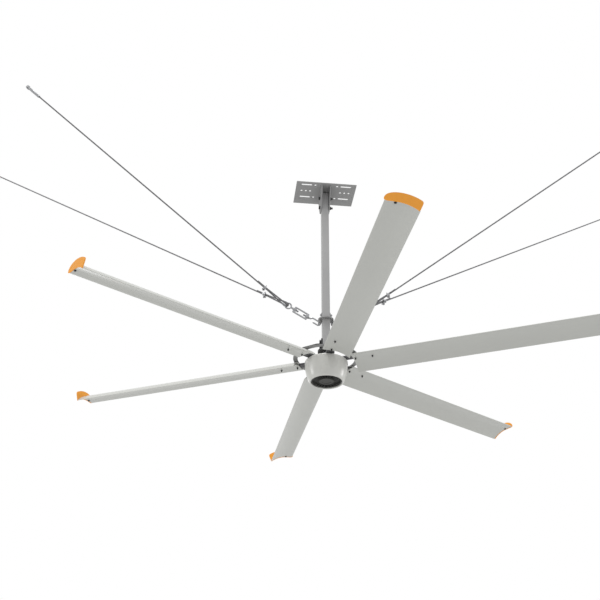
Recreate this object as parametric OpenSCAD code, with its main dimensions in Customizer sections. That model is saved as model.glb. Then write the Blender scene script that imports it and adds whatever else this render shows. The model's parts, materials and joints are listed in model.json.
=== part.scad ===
// High-volume low-speed ceiling fan: six blades on a drop rod, held steady by four guy wires.
// Origin: centre of the ceiling plate's top face. +Z up, +X along the plate's long side.
// Heights of the fan head are measured from the middle plane of its blades.

/* [Ceiling plate] */
// Length of the plate
plate_l = 500; // [460:10:600]
// Width of the plate
plate_w = 300; // [280:10:360]
// Thickness of the plate
plate_t = 5; // [4:1:12]
// Radius of the plate's corners
plate_corner_r = 4; // [2:1:8]
// Diameter of the round bolt holes, and width of the slots
plate_hole_d = 18; // [12:1:20]
// Length of a slot from end to end
slot_l = 90; // [60:5:100]
// Distance from the middle to a slot's centre
slot_x = 163; // [155:1:170]
// Distance from the middle to a round hole of the slotted rows
hole_x = 91; // [80:1:98]
// Distance between two rows of holes
row_pitch = 84; // [60:2:90]
// Distance between two holes of the middle row
mid_pitch = 36; // [24:2:40]
// Shift of the hole rows towards the front edge
row_shift = 29; // [20:1:34]

/* [Hanger] */
// Thickness of each ear that is welded under the plate
ear_t = 8; // [6:1:12]
// Height of the ears
ear_drop = 190; // [180:5:240]
// Depth of an ear where it meets the plate
ear_top_w = 250; // [180:10:280]
// Depth of an ear at its lower end
ear_low_w = 84; // [70:2:120]
// Chamfer of an ear's lower corners
ear_chamfer = 18; // [6:2:24]
// Diameter of the bolts through the rod
rod_bolt_d = 16; // [12:1:20]
// Distance from the plate down to the upper bolt
ear_bolt_drop = 47; // [36:1:60]
// Distance between the two hanger bolts
ear_bolt_pitch = 96; // [60:2:110]

/* [Drop rod] */
// Side of the square tube
rod_w = 60; // [50:2:70]
// Wall of the square tube
rod_wall = 4; // [3:1:6]
// Radius of the tube's outer corners
rod_corner_r = 6; // [5:1:8]
// Distance from the plate's underside down to the middle plane of the blades
drop = 1598; // [1200:1:2400]
// Gap between the tube's top and the plate
rod_top_gap = 10; // [5:1:20]

/* [Motor yoke] */
// Height of the yoke flange's underside above the blades' plane
yoke_z = 108; // [100:2:130]
// Radius of the yoke flange
yoke_r = 64; // [56:1:72]
// Thickness of the yoke flange
yoke_t = 15; // [10:1:20]
// Height of the yoke's ears above its flange
yoke_h = 100; // [90:2:130]
// Depth of a yoke ear
yoke_w = 62; // [56:2:70]
// Distance from the flange up to the lower bolt
yoke_bolt_rise = 32; // [28:1:40]
// Distance between the two yoke bolts
yoke_bolt_pitch = 44; // [44:1:48]

/* [Hub] */
// Largest radius of the hub shell
hub_r = 164; // [160:1:180]
// Radius of the hub's lower rim
rim_r = 126; // [124:1:132]
// Depth of the lower rim below the blades' plane
hub_low = 140; // [138:1:150]
// Height of the hub's flat top above the blades' plane
hub_top = 28; // [24:1:28]
// Height of the widest line above the blades' plane
belly_z = 17; // [5:1:17]
// Radius of the shoulder under the flat top
shoulder_r = 11; // [6:1:11]
// Radius of the opening that holds the bottom cover
mouth_r = 119; // [117:1:120]
// Depth of the bottom cover inside the rim
mouth_depth = 10; // [6:1:12]
// Radius of the top cover
cover_r = 150; // [144:1:152]
// Thickness of the top cover
cover_t = 12; // [10:1:14]

/* [Blades] */
// Radius at the blade's open inner end
root_r = 214; // [206:1:220]
// Radius at the outer face of a winglet
tip_r = 2100; // [1200:10:2700]
// Chord of the blade section
chord = 211; // [204:1:224]
// Pitch of the blade in degrees, leading edge up
pitch = 16.3; // [15:0.1:18]
// Rise of the mean line in the middle of the chord
camber = 30; // [28:1:32]
// Largest thickness of the section
section_t = 28; // [27:1:32]
// Thickness of the trailing edge
trail_t = 2; // [1:0.5:3]
// Wall of the extrusion
blade_wall = 2.6; // [2:0.2:3]
// Distance from the leading edge forward to the radial line
lead_offset = 69; // [66:1:72]
// Direction of the first blade, degrees from +X
first_azimuth = -86.8; // [-120:0.2:-60]

/* [Struts and links] */
// Width of the bar that carries a blade
strut_w = 50; // [44:1:50]
// Thickness of the bar
strut_t = 14; // [10:1:14]
// Inner end of the bar
strut_r0 = 76; // [74:1:84]
// Outer end of the bar, inside the blade
strut_r1 = 388; // [380:2:500]
// Radius of the inner blade bolts
inner_bolt_r = 234; // [228:1:240]
// Radius of the outer blade bolts
outer_bolt_r = 365; // [350:1:372]
// Diameter of the blade bolts
blade_bolt_d = 8; // [8:1:12]
// Width of the link plates between neighbouring blades
link_w = 34; // [30:1:42]
// Thickness of a link plate
link_t = 4; // [3:1:6]

/* [Winglets] */
// Thickness of the winglet's fin
fin_t = 7; // [5:1:10]
// Length of the plug inside the blade
plug_l = 42; // [30:2:60]
// Distance of the tip screw from the blade's end
tip_screw_in = 10; // [10:1:16]
// Diameter of the tip screw
tip_screw_d = 8; // [5:1:8]

/* [Motor] */
// Outer radius of the stator
stator_r = 121; // [110:1:121]
// Height of the laminated stack
stack_h = 50; // [40:1:54]
// Depth of the stack's middle below the blades' plane
stack_z = 37; // [36:1:40]
// Air gap between the stator and the magnets
air_gap = 1; // [0.8:0.1:1.4]
// Thickness of the magnets
magnet_t = 6; // [4:0.5:6]
// Thickness of the back iron ring
iron_t = 10; // [8:1:10]
// Number of stator teeth
teeth = 18; // [12:3:18]
// Number of magnets
poles = 20; // [12:2:24]
// Radius of the shaft at the upper bearing
shaft_r = 30; // [28:1:30]
// Radius of the shaft at the lower bearing
shaft_low_r = 25; // [24:1:25]
// Radius of the cable bore in the shaft
shaft_bore_r = 12; // [8:1:14]

/* [Guy collar] */
// Height of the collar's disc above the blades' plane
collar_z = 386; // [360:2:420]
// Radius of the collar's disc
collar_r = 61; // [60:1:64]
// Thickness of the collar's plates
collar_t = 8; // [6:1:8]
// Height of the two tabs that are bolted to the rod
collar_tab_h = 52; // [46:1:60]
// Width of the ears that hold the hooks
collar_ear_w = 44; // [38:1:50]
// Diameter of the collar bolt
collar_bolt_d = 12; // [10:1:14]

/* [Turnbuckles] */
// Elevation of a turnbuckle's axis in degrees
buckle_elev = 31; // [28:0.5:35]
// Diameter of the bent rod of the hooks and eyes
hook_d = 12; // [10:1:12]
// Radius of a hook's bowl, on the rod's centre line
bowl_r = 16; // [16:1:18]
// Distance from the bowl's centre to the near end of the frame
frame_start = 94; // [92:1:104]
// Length of the turnbuckle frame
frame_l = 128; // [120:2:150]
// Length of each threaded boss of the frame
boss_l = 20; // [16:1:20]
// Radius of the bosses
boss_r = 14; // [12:1:16]
// Width of the frame over its two rails
frame_w = 58; // [54:1:66]
// Height of a rail, square to the axis
rail_w = 13; // [9:1:13]
// Diameter of the threaded screws
screw_d = 14; // [12:1:16]
// Length of each screw that shows inside the frame
screw_in = 22; // [18:1:24]
// Distance from the bowl's centre to the outer side of the eye
eye_reach = 298; // [290:1:330]
// Inner radius of the eye
eye_r = 18; // [16:1:22]

/* [Guy wires] */
// Diameter of the wire rope
wire_d = 12; // [8:1:12]
// Elevation of the wires above the ground plane, degrees
wire_elev = 31.8; // [28:0.1:36]
// Angle of each wire away from the XZ plane, degrees
wire_splay = 19.8; // [12:0.1:24]
// Length of the two front wires from eye to terminal
front_wire_l = 2490; // [1200:10:3400]
// Length of the two rear wires from eye to terminal
rear_wire_l = 3380; // [1200:10:3800]
// Radius of the wire's bend in the thimble
thimble_r = 21; // [20:1:24]
// Distance from the thimble to the wire clip
clip_at = 205; // [150:5:300]
// Length of the wire's short end past the clip
tail_l = 75; // [50:5:120]
// Inner radius of the terminal's eye
anchor_r = 8; // [6:0.5:10]

/* [Power cable] */
// Diameter of the cable
cable_d = 12; // [8:1:12]
// Diameter of the connector on the cable's end
connector_d = 26; // [22:1:30]
// Length of the connector
connector_l = 58; // [50:1:70]

/* [Hidden] */

$fn = 48;
blade_count = 6;
// Clearance of a seat or a bolt hole, of a turning fit, and the overrun of a cut
clear = 0.3;
run_fit = 0.05;
seat_fit = 0.02;
over = 1;

// Colours
rod_grey = [0.62, 0.62, 0.62];
plate_grey = [0.50, 0.50, 0.50];
blade_grey = [0.67, 0.67, 0.65];
hub_grey = [0.74, 0.74, 0.72];
black = [0.10, 0.10, 0.10];
steel = [0.42, 0.42, 0.43];
zinc = [0.66, 0.67, 0.68];
fin_orange = [0.90, 0.56, 0.20];
copper = [0.72, 0.42, 0.22];

// Heights and directions
blade_z = -(plate_t + drop);
le_z = chord * sin(pitch) / 2;
strut_y = -lead_offset * 0.07;
strut_z = hub_top + strut_t / 2;
rod_low_z = yoke_z + yoke_t + rod_top_gap;
rod_top_z = drop - rod_top_gap;
ear_gap = rod_w / 2 + clear;
ear_out = ear_gap + ear_t;

// Fastener proportions, as shares of the bolt's diameter
head_h_share = 0.6;
head_r_share = 0.87;
washer_r_share = 1.1;
face_r_share = 0.74;
washer_t_share = 0.14;
nut_h_share = 0.8;
tail_share = 0.3;
long_tail_share = 0.8;

// A hexagon-headed bolt over a washer: seat at z = 0, shank downwards
module bolt(d, grip, washer_share = washer_r_share) {
    cylinder(h = d * washer_t_share, r = d * washer_share);
    translate([0, 0, d * washer_t_share])
        cylinder(h = d * head_h_share, r = d * head_r_share, $fn = 6);
    translate([0, 0, -grip])
        cylinder(h = grip + d * washer_t_share, d = d);
}

// A nut over a washer: seat at z = 0, body upwards
module nut(d, washer_share = washer_r_share) {
    difference() {
        union() {
            cylinder(h = d * washer_t_share, r = d * washer_share);
            translate([0, 0, d * washer_t_share])
                cylinder(h = d * nut_h_share, r = d * head_r_share, $fn = 6);
        }
        translate([0, 0, -over])
            cylinder(h = d * (nut_h_share + washer_t_share) + 2 * over, d = d + 2 * run_fit);
    }
}

// A bolt along X through a clamped pack of half width reach, with its nut and no washers
module cross_bolt(d, reach, z, free_share = tail_share) {
    tail = d * (nut_h_share + washer_t_share + free_share);
    translate([-reach - clear, 0, z])
        rotate([0, -90, 0])
            rotate([0, 0, 30])
                bolt(d, 2 * (reach + clear) + tail, face_r_share);
    translate([reach + clear, 0, z])
        rotate([0, 90, 0])
            rotate([0, 0, 30])
                nut(d, face_r_share);
}

// A hole along X at a height z
module cross_hole(d, reach, z) {
    translate([-reach, 0, z])
        rotate([0, 90, 0])
            cylinder(h = 2 * reach, d = d);
}

module round_plate(l, w, t, r) {
    union() {
        translate([-l / 2 + r, -w / 2, 0])
            cube([l - 2 * r, w, t]);
        translate([-l / 2, -w / 2 + r, 0])
            cube([l, w - 2 * r, t]);
        for (sx = [-1, 1], sy = [-1, 1])
            translate([sx * (l / 2 - r), sy * (w / 2 - r), 0])
                cylinder(h = t, r = r);
    }
}

module at_blades() {
    translate([0, 0, blade_z])
        children();
}

module at_blade(i) {
    rotate([0, 0, first_azimuth + (i - 1) * 360 / blade_count])
        children();
}

// Carries a flat drawing in (tangential, height) outwards along the radius
module radial_extrude(r0, l) {
    translate([r0, 0, 0])
        rotate([90, 0, 90])
            linear_extrude(height = l)
                children();
}

module slot_cut(x, y) {
    straight = slot_l - plate_hole_d;
    translate([x, y, -plate_t - over]) {
        translate([-straight / 2, -plate_hole_d / 2, 0])
            cube([straight, plate_hole_d, plate_t + 2 * over]);
        for (s = [-1, 1])
            translate([s * straight / 2, 0, 0])
                cylinder(h = plate_t + 2 * over, d = plate_hole_d);
    }
}

module round_cut(x, y) {
    translate([x, y, -plate_t - over])
        cylinder(h = plate_t + 2 * over, d = plate_hole_d);
}

module ceiling_plate() {
    color(plate_grey)
        difference() {
            translate([0, 0, -plate_t])
                round_plate(plate_l, plate_w, plate_t, plate_corner_r);
            for (s = [-1, 1], row = [-1, 1]) {
                slot_cut(s * slot_x, row * row_pitch - row_shift);
                round_cut(s * hole_x, row * row_pitch - row_shift);
            }
            for (s = [-1, 1], k = [-1, 0, 1])
                round_cut(s * slot_x + k * mid_pitch, -row_shift);
        }
}

module hanger_ear() {
    difference() {
        rotate([90, 0, 90])
            linear_extrude(height = ear_t)
                polygon([
                    [-ear_top_w / 2, 0],
                    [-ear_low_w / 2, -ear_drop + ear_chamfer],
                    [-ear_low_w / 2 + ear_chamfer, -ear_drop],
                    [ear_low_w / 2 - ear_chamfer, -ear_drop],
                    [ear_low_w / 2, -ear_drop + ear_chamfer],
                    [ear_top_w / 2, 0]
                ]);
        for (k = [0, 1])
            cross_hole(rod_bolt_d + 2 * clear, 2 * ear_t, -ear_bolt_drop - k * ear_bolt_pitch);
    }
}

module hanger_ears() {
    color(plate_grey)
        translate([0, 0, -plate_t])
            for (s = [0, 1])
                mirror([s, 0, 0])
                    translate([ear_gap, 0, 0])
                        hanger_ear();
}

// Identical bolts through the hanger, the yoke and the rod between them
module rod_bolts() {
    color(black)
        at_blades()
            for (k = [0, 1]) {
                cross_bolt(rod_bolt_d, ear_out, drop - ear_bolt_drop - k * ear_bolt_pitch,
                    long_tail_share);
                cross_bolt(rod_bolt_d, ear_out,
                    yoke_z + yoke_t + yoke_bolt_rise + k * yoke_bolt_pitch, long_tail_share);
            }
}

grommet_z = yoke_z + yoke_t + yoke_bolt_rise + yoke_bolt_pitch / 2;
grommet_wall = 1.2;
grommet_lip = 1.6;
grommet_nose = 12;
grommet_r = cable_d / 2 + clear + grommet_wall;

module drop_rod() {
    color(rod_grey)
        at_blades()
            difference() {
                translate([0, 0, rod_low_z])
                    round_plate(rod_w, rod_w, rod_top_z - rod_low_z, rod_corner_r);
                translate([0, 0, rod_low_z - over])
                    round_plate(rod_w - 2 * rod_wall, rod_w - 2 * rod_wall,
                        rod_top_z - rod_low_z + 2 * over, rod_corner_r - rod_wall + over);
                for (k = [0, 1]) {
                    cross_hole(rod_bolt_d + 2 * clear, rod_w,
                        drop - ear_bolt_drop - k * ear_bolt_pitch);
                    cross_hole(rod_bolt_d + 2 * clear, rod_w,
                        yoke_z + yoke_t + yoke_bolt_rise + k * yoke_bolt_pitch);
                }
                cross_hole(collar_bolt_d + 2 * clear, rod_w, collar_bolt_z);
                translate([-rod_w, 0, grommet_z])
                    rotate([0, 90, 0])
                        cylinder(h = rod_w, r = grommet_r + clear);
            }
}

// Yoke: the black flange and its two ears on top of the motor shaft
module motor_yoke() {
    color(black)
        at_blades()
            difference() {
                union() {
                    translate([0, 0, yoke_z])
                        cylinder(h = yoke_t, r = yoke_r);
                    for (s = [-1, 1])
                        translate([s * (ear_gap + ear_t / 2) - ear_t / 2, 0, yoke_z + yoke_t])
                            yoke_ear();
                }
                translate([0, 0, yoke_z - over])
                    cylinder(h = yoke_t + 2 * over, r = shaft_bore_r);
                translate([-rod_w, 0, grommet_z])
                    rotate([0, 90, 0])
                        cylinder(h = rod_w, r = grommet_r + clear);
            }
}

module yoke_ear() {
    difference() {
        rotate([90, 0, 90])
            linear_extrude(height = ear_t)
                polygon([
                    [-yoke_w / 2, -over],
                    [-yoke_w / 2, yoke_h - yoke_w / 4],
                    [-yoke_w / 4, yoke_h],
                    [yoke_w / 4, yoke_h],
                    [yoke_w / 2, yoke_h - yoke_w / 4],
                    [yoke_w / 2, -over]
                ]);
        for (k = [0, 1])
            cross_hole(rod_bolt_d + 2 * clear, 2 * ear_t, yoke_bolt_rise + k * yoke_bolt_pitch);
    }
}

// Guy collar: a disc round the rod, two tabs bolted to it and two ears turned down
collar_bolt_z = collar_z + collar_t + collar_tab_h * 0.75;
ear_hole_r = hook_d * 0.9;
ear_hole_rise = hook_d / 5;
ear_strip = 10;
ear_mid_x = collar_r - collar_t / 2;
ear_low_z = collar_z - ear_strip - 2 * ear_hole_r - 2 * ear_hole_rise;
strip_z = ear_low_z + ear_strip / 2;
hook_lift = 3.5;
bowl_x = ear_mid_x + hook_lift * cos(buckle_elev);
bowl_z = strip_z + hook_lift * sin(buckle_elev);

module guy_collar() {
    color(steel)
        at_blades()
            difference() {
                union() {
                    translate([0, 0, collar_z])
                        cylinder(h = collar_t, r = collar_r);
                    for (s = [0, 1])
                        mirror([s, 0, 0]) {
                            translate([ear_gap, -rod_w / 3, collar_z])
                                cube([collar_t * 0.6, rod_w * 2 / 3, collar_t + collar_tab_h]);
                            translate([ear_mid_x - collar_t / 2, 0, ear_low_z])
                                collar_ear();
                        }
                }
                translate([-ear_gap, -ear_gap, collar_z - over])
                    cube([2 * ear_gap, 2 * ear_gap, collar_t + 2 * over]);
                cross_hole(collar_bolt_d + 2 * clear, rod_w, collar_bolt_z);
            }
}

// An ear with a round lower end and a long hole for the hook, inside the disc's outline
module collar_ear() {
    h = collar_z - ear_low_z + collar_t;
    corner = collar_ear_w / 4;
    intersection() {
        difference() {
            union() {
                translate([0, -collar_ear_w / 2, corner])
                    cube([collar_t, collar_ear_w, h - corner]);
                translate([0, -collar_ear_w / 2 + corner, 0])
                    cube([collar_t, collar_ear_w - 2 * corner, h]);
                for (s = [-1, 1])
                    translate([0, s * (collar_ear_w / 2 - corner), corner])
                        rotate([0, 90, 0])
                            cylinder(h = collar_t, r = corner);
            }
            for (k = [0, 1])
                translate([-over, 0, ear_strip + ear_hole_r + k * ear_hole_rise])
                    rotate([0, 90, 0])
                        cylinder(h = collar_t + 2 * over, r = ear_hole_r);
            translate([-over, -ear_hole_r, ear_strip + ear_hole_r])
                cube([collar_t + 2 * over, 2 * ear_hole_r, ear_hole_rise]);
        }
        translate([collar_t / 2 - ear_mid_x, 0, -over])
            cylinder(h = h + 2 * over, r = collar_r);
    }
}

module collar_bolt() {
    color(zinc)
        at_blades()
            cross_bolt(collar_bolt_d, ear_gap + collar_t * 0.6, collar_bolt_z);
}

// Places a turnbuckle drawn along +X on the right side, or on the left when side is 1
module at_buckle(side) {
    at_blades()
        mirror([side, 0, 0])
            translate([bowl_x, 0, bowl_z])
                rotate([0, -buckle_elev, 0])
                    children();
}

// Sweeps a flat shape along points. up lies in every ring; cap lists one end's triangles
function unit(v) = v / norm(v);
function heading(p, i) = i == 0 ? unit(p[1] - p[0])
    : i == len(p) - 1 ? unit(p[i] - p[i - 1])
    : unit(unit(p[i] - p[i - 1]) + unit(p[i + 1] - p[i]));
function ring(p, i, shape, up) =
    let (side = unit(cross(up, heading(p, i))), top = cross(heading(p, i), side))
    [for (q = shape) p[i] + q[0] * side + q[1] * top];

module sweep(p, shape, cap, up) {
    n = len(shape);
    last = len(p) - 1;
    points = [for (i = [0 : last]) each ring(p, i, shape, up)];
    walls = [for (i = [0 : last - 1], k = [0 : n - 1])
        let (a = i * n + k, b = i * n + (k + 1) % n)
        each [[a, a + n, b + n], [a, b + n, b]]];
    far_cap = [for (t = cap) [last * n + t[0], last * n + t[2], last * n + t[1]]];
    polyhedron(points, concat(walls, cap, far_cap));
}

module tube(p, r, sides, up) {
    shape = [for (k = [0 : sides - 1]) r * [cos(360 * k / sides), sin(360 * k / sides)]];
    sweep(p, shape, [for (k = [1 : sides - 2]) [0, k, k + 1]], up);
}

module straight(x0, x1, z, d) {
    translate([x0, 0, z])
        rotate([0, 90, 0])
            cylinder(h = x1 - x0, d = d);
}

neck_bend = 60;
neck_x = frame_start - screw_d - 2 * bowl_r * sin(neck_bend);
screw_start = frame_start - screw_d;

// Long hook: free strand, bowl, upper strand, a neck back to the axis, and the screw
function turn_points(x, z, r, from, to, n) =
    [for (i = [0 : n])
        let (a = from + (to - from) * i / n)
        [x + r * cos(a), 0, z + r * sin(a)]];

hook_route = concat(
    [[neck_x * 0.8, 0, -bowl_r]],
    turn_points(0, 0, bowl_r, 270, 90, 12),
    turn_points(neck_x, 0, bowl_r, 90, 90 - neck_bend, 4),
    turn_points(screw_start, bowl_r, bowl_r, 270 - neck_bend * 3 / 4, 270, 3),
    [[screw_start + screw_d / 2, 0, 0]]);
hook_sides = 10;

module hook() {
    tube(hook_route, hook_d / 2, hook_sides, [0, 1, 0]);
    straight(screw_start, frame_start + boss_l + screw_in, 0, screw_d);
}

module collar_hooks() {
    color(zinc)
        for (side = [0, 1])
            at_buckle(side)
                hook();
}

module lock_nuts() {
    color(zinc)
        for (side = [0, 1], end = [0, 1])
            at_buckle(side)
                translate([frame_start + frame_l / 2, 0, 0])
                    mirror([end, 0, 0])
                        translate([frame_l / 2 + clear, 0, 0])
                            rotate([0, 90, 0])
                                lock_nut();
}

module lock_nut() {
    difference() {
        cylinder(h = screw_d * 0.5, r = screw_d * head_r_share, $fn = 6);
        translate([0, 0, -over])
            cylinder(h = screw_d * 0.5 + 2 * over, d = screw_d + 2 * run_fit);
    }
}

// Open frame: two rails between two threaded bosses
module buckle_frame(side) {
    color(zinc)
        at_buckle(side)
            difference() {
                union() {
                    for (x = [frame_start, frame_start + frame_l - boss_l]) {
                        straight(x, x + boss_l, 0, 2 * boss_r);
                        translate([x, -rail_w / 2, -frame_w / 2 + rail_w / 2])
                            cube([boss_l, rail_w, frame_w - rail_w]);
                    }
                    for (s = [-1, 1]) {
                        straight(frame_start + rail_w / 2, frame_start + frame_l - rail_w / 2,
                            s * (frame_w - rail_w) / 2, rail_w);
                        for (x = [frame_start + rail_w / 2, frame_start + frame_l - rail_w / 2])
                            translate([x, 0, s * (frame_w - rail_w) / 2])
                                sphere(d = rail_w);
                    }
                }
                straight(frame_start - over, frame_start + frame_l + over, 0,
                    screw_d + 2 * run_fit);
            }
}

eye_centre = eye_reach - eye_r - hook_d / 2;

module eye_screw(side) {
    color(zinc)
        at_buckle(side) {
            straight(frame_start + frame_l - boss_l - screw_in, eye_centre - eye_r - hook_d / 4,
                0, screw_d);
            translate([eye_centre, 0, 0])
                rotate([90, 0, 0])
                    rotate_extrude()
                        translate([eye_r + hook_d / 2, 0])
                            circle(d = hook_d);
        }
}

// Guy wires. The two thimbles of a side sit one above the other in the eye.
thimble_wall = 1.5;
thimble_half = wire_d / 2 + thimble_wall;
stack_w = thimble_half + clear;
inner_reach = eye_r - thimble_half - 4 * clear;
thimble_x = eye_centre + sqrt(inner_reach * inner_reach - stack_w * stack_w) + thimble_r;

// Direction of a wire in the turnbuckle's own frame
wire_dir = [cos(wire_elev) * cos(wire_splay), cos(wire_elev) * sin(wire_splay), sin(wire_elev)];
along = wire_dir[0] * cos(buckle_elev) + wire_dir[2] * sin(buckle_elev);
rise = wire_dir[2] * cos(buckle_elev) - wire_dir[0] * sin(buckle_elev);
yaw = atan2(wire_dir[1], along);
tilt = asin(rise);

// Frame of one wire: +X runs from the thimble's centre to the anchor. front is 1 or -1
module at_wire(side, front) {
    at_buckle(side)
        translate([eye_centre + (thimble_x - eye_centre - thimble_r), 0, -front * stack_w])
            rotate([0, 0, -front * yaw])
                rotate([0, -tilt, 0])
                    translate([thimble_r, 0, 0])
                        children();
}

strand_gap = wire_d + 2 * clear;
thimble_leg = 1.3 * thimble_r;
strand_start = clip_at - 2 * wire_d;
strand_reach = norm([strand_start, strand_gap / 2]);
lean = 90 - acos(thimble_r / strand_reach) - atan2(strand_gap / 2, strand_start);

// The bend that wire and thimble share, from the upper strand round to the lower one
bend_steps = 14;
bend_route = [for (i = [0 : bend_steps])
    let (a = 90 - lean + i * (180 + 2 * lean) / bend_steps)
    thimble_r * [cos(a), sin(a), 0]];

// Groove of the thimble: a part ring on the inner side of the wire
groove_steps = 9;
groove_half = 110;
function groove_arc(r, from, to) = [for (k = [0 : groove_steps])
    r * [cos(from + (to - from) * k / groove_steps), sin(from + (to - from) * k / groove_steps)]];

module thimble() {
    leg = thimble_leg * [cos(lean), -sin(lean), 0];
    m = groove_steps + 1;
    shape = concat(groove_arc(thimble_half, -groove_half, groove_half),
        groove_arc(wire_d / 2 + clear, groove_half, -groove_half));
    cap = [for (k = [0 : m - 2])
        each [[k, k + 1, 2 * m - 2 - k], [k, 2 * m - 2 - k, 2 * m - 1 - k]]];
    route = concat([bend_route[0] + leg], bend_route,
        [bend_route[bend_steps] + [leg[0], -leg[1], 0]]);
    sweep(route, shape, cap, [0, 0, 1]);
}

module thimbles(side) {
    color(zinc)
        for (front = [-1, 1])
            at_wire(side, front)
                thimble();
}

// Route of a wire: anchor end, clip, round the thimble, clip, short end
function wire_route(l) = concat(
    [[l, strand_gap / 2, 0], [strand_start, strand_gap / 2, 0]],
    bend_route,
    [[strand_start, -strand_gap / 2, 0], [clip_at + tail_l, -strand_gap / 2, 0]]);

wire_sides = 8;

module guy_wire(side, front, l) {
    color(steel)
        at_wire(side, front)
            tube(wire_route(l), wire_d / 2, wire_sides, [0, 0, 1]);
}

// Wire clip: a saddle under both strands, a U-bolt over them and two nuts
clip_rod = wire_d * 0.7;

module wire_clip() {
    half = strand_gap / 2 + wire_d / 2 + clip_rod / 2 + clear;
    saddle_h = wire_d;
    saddle_l = wire_d * 2;
    translate([clip_at, 0, 0]) {
        difference() {
            translate([-saddle_l / 2, -half - clip_rod, -saddle_h - wire_d / 4])
                cube([saddle_l, 2 * (half + clip_rod), saddle_h]);
            for (s = [-1, 1]) {
                translate([-saddle_l, s * strand_gap / 2, 0])
                    rotate([0, 90, 0])
                        cylinder(h = 2 * saddle_l, r = wire_d / 2 + clear / 2);
                translate([0, s * half, -2 * wire_d])
                    cylinder(h = 2 * wire_d, d = clip_rod + clear);
            }
        }
        translate([0, 0, wire_d / 2 + clip_rod / 2 + clear]) {
            translate([0, -half, 0])
                rotate([-90, 0, 0])
                    cylinder(h = 2 * half, d = clip_rod);
            for (s = [-1, 1])
                translate([0, s * half, 0])
                    sphere(d = clip_rod);
        }
        for (s = [-1, 1]) {
            translate([0, s * half, -saddle_h - wire_d])
                cylinder(h = saddle_h + 1.5 * wire_d + clip_rod / 2 + clear, d = clip_rod);
            translate([0, s * half, -saddle_h - wire_d / 4 - clear])
                mirror([0, 0, 1])
                    clip_nut();
        }
    }
}

module clip_nut() {
    difference() {
        cylinder(h = clip_rod * nut_h_share, r = clip_rod * head_r_share, $fn = 6);
        translate([0, 0, -over])
            cylinder(h = clip_rod + 2 * over, d = clip_rod + 2 * run_fit);
    }
}

module wire_clips(side) {
    color(zinc)
        for (front = [-1, 1])
            at_wire(side, front)
                wire_clip();
}

// Swaged terminal: a sleeve on the wire's end and a flat eye for the anchor bolt
sleeve_l = 5 * wire_d;
terminal_t = 1.2 * wire_d;
terminal_x = sleeve_l + 2.2 * anchor_r;

module terminal() {
    difference() {
        union() {
            straight(-sleeve_l / 2, sleeve_l / 2 + wire_d, 0, wire_d * 1.8);
            translate([sleeve_l / 2, -anchor_r, -terminal_t / 2])
                cube([terminal_x - sleeve_l / 2, 2 * anchor_r, terminal_t]);
            translate([terminal_x, 0, -terminal_t / 2])
                cylinder(h = terminal_t, r = 2.2 * anchor_r);
        }
        straight(-sleeve_l, 0, 0, wire_d + 2 * seat_fit);
        translate([terminal_x, 0, -terminal_t])
            cylinder(h = 2 * terminal_t, r = anchor_r);
    }
}

module wire_terminal(side, front, l) {
    color(zinc)
        at_wire(side, front)
            translate([l, strand_gap / 2, 0])
                terminal();
}

// Hub shell: a bowl whose side is one smooth arc from the rim to the widest line
side_steps = 12;
side_power = 1.3;
top_wall = hub_top - cover_t;
mag_r = stator_r + air_gap;
iron_in = mag_r + magnet_t;
iron_out = iron_in + iron_t;
mag_h = stack_h + 6;
web_z = 116;
web_t = 12;
low_seat_r = 45;
low_bear_h = 20;
up_seat_r = 55;
up_bear_h = 22;
ledge_w = 9;
cover_z = hub_low - mouth_depth;
bottom_t = 5;
lip = 4;

function side_point(i) =
    let (a = 90 * i / side_steps)
    [rim_r + (hub_r - rim_r) * pow(sin(a), side_power),
     -hub_low + (hub_low + belly_z) * (1 - pow(cos(a), side_power))];

function arc(x, y, r, from, to, n) =
    [for (i = [0 : n]) [x + r * cos(from + (to - from) * i / n),
        y + r * sin(from + (to - from) * i / n)]];

module hub_shell() {
    color(hub_grey)
        at_blades()
            difference() {
                rotate_extrude()
                    polygon(concat(
                        [for (i = [0 : side_steps]) side_point(i)],
                        arc(hub_r - shoulder_r, hub_top - shoulder_r, shoulder_r, 6, 90, 5),
                        [[cover_r + clear, hub_top],
                         [cover_r + clear, top_wall],
                         [iron_out + seat_fit, top_wall],
                         [iron_out + seat_fit, -stack_z - mag_h / 2],
                         [iron_in, -stack_z - mag_h / 2],
                         [iron_in, -web_z + web_t],
                         [low_seat_r + lip + lip, -web_z + web_t],
                         [low_seat_r + lip + lip, -web_z + lip + low_bear_h],
                         [low_seat_r + seat_fit, -web_z + lip + low_bear_h],
                         [low_seat_r + seat_fit, -web_z + lip],
                         [low_seat_r - lip, -web_z + lip],
                         [low_seat_r - lip, -web_z],
                         [mouth_r - ledge_w, -web_z],
                         [mouth_r - ledge_w, -cover_z + bottom_t],
                         [mouth_r, -cover_z + bottom_t],
                         [mouth_r, -hub_low + lip / 2]]));
                for (k = [0 : cover_screw_count - 1])
                    rotate([0, 0, k * 360 / cover_screw_count])
                        translate([bottom_screw_r, 0, -cover_z - over])
                            cylinder(h = bottom_t + 2 * lip, d = small_screw_d + 2 * clear);
                for (k = [1 : blade_count])
                    at_blade(k + 0.5)
                        translate([cover_r - small_screw_d, 0, top_wall - 3 * small_screw_d])
                            cylinder(h = 4 * small_screw_d, d = small_screw_d + 2 * clear);
            }
}

cover_screw_count = 6;
small_screw_d = 5;
bottom_screw_r = mouth_r - ledge_w / 2;
strut_bolt_d = 12;
strut_bolt_r1 = strut_r0 + 1.6 * strut_bolt_d;
strut_bolt_r2 = cover_r - 1.6 * strut_bolt_d;

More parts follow.
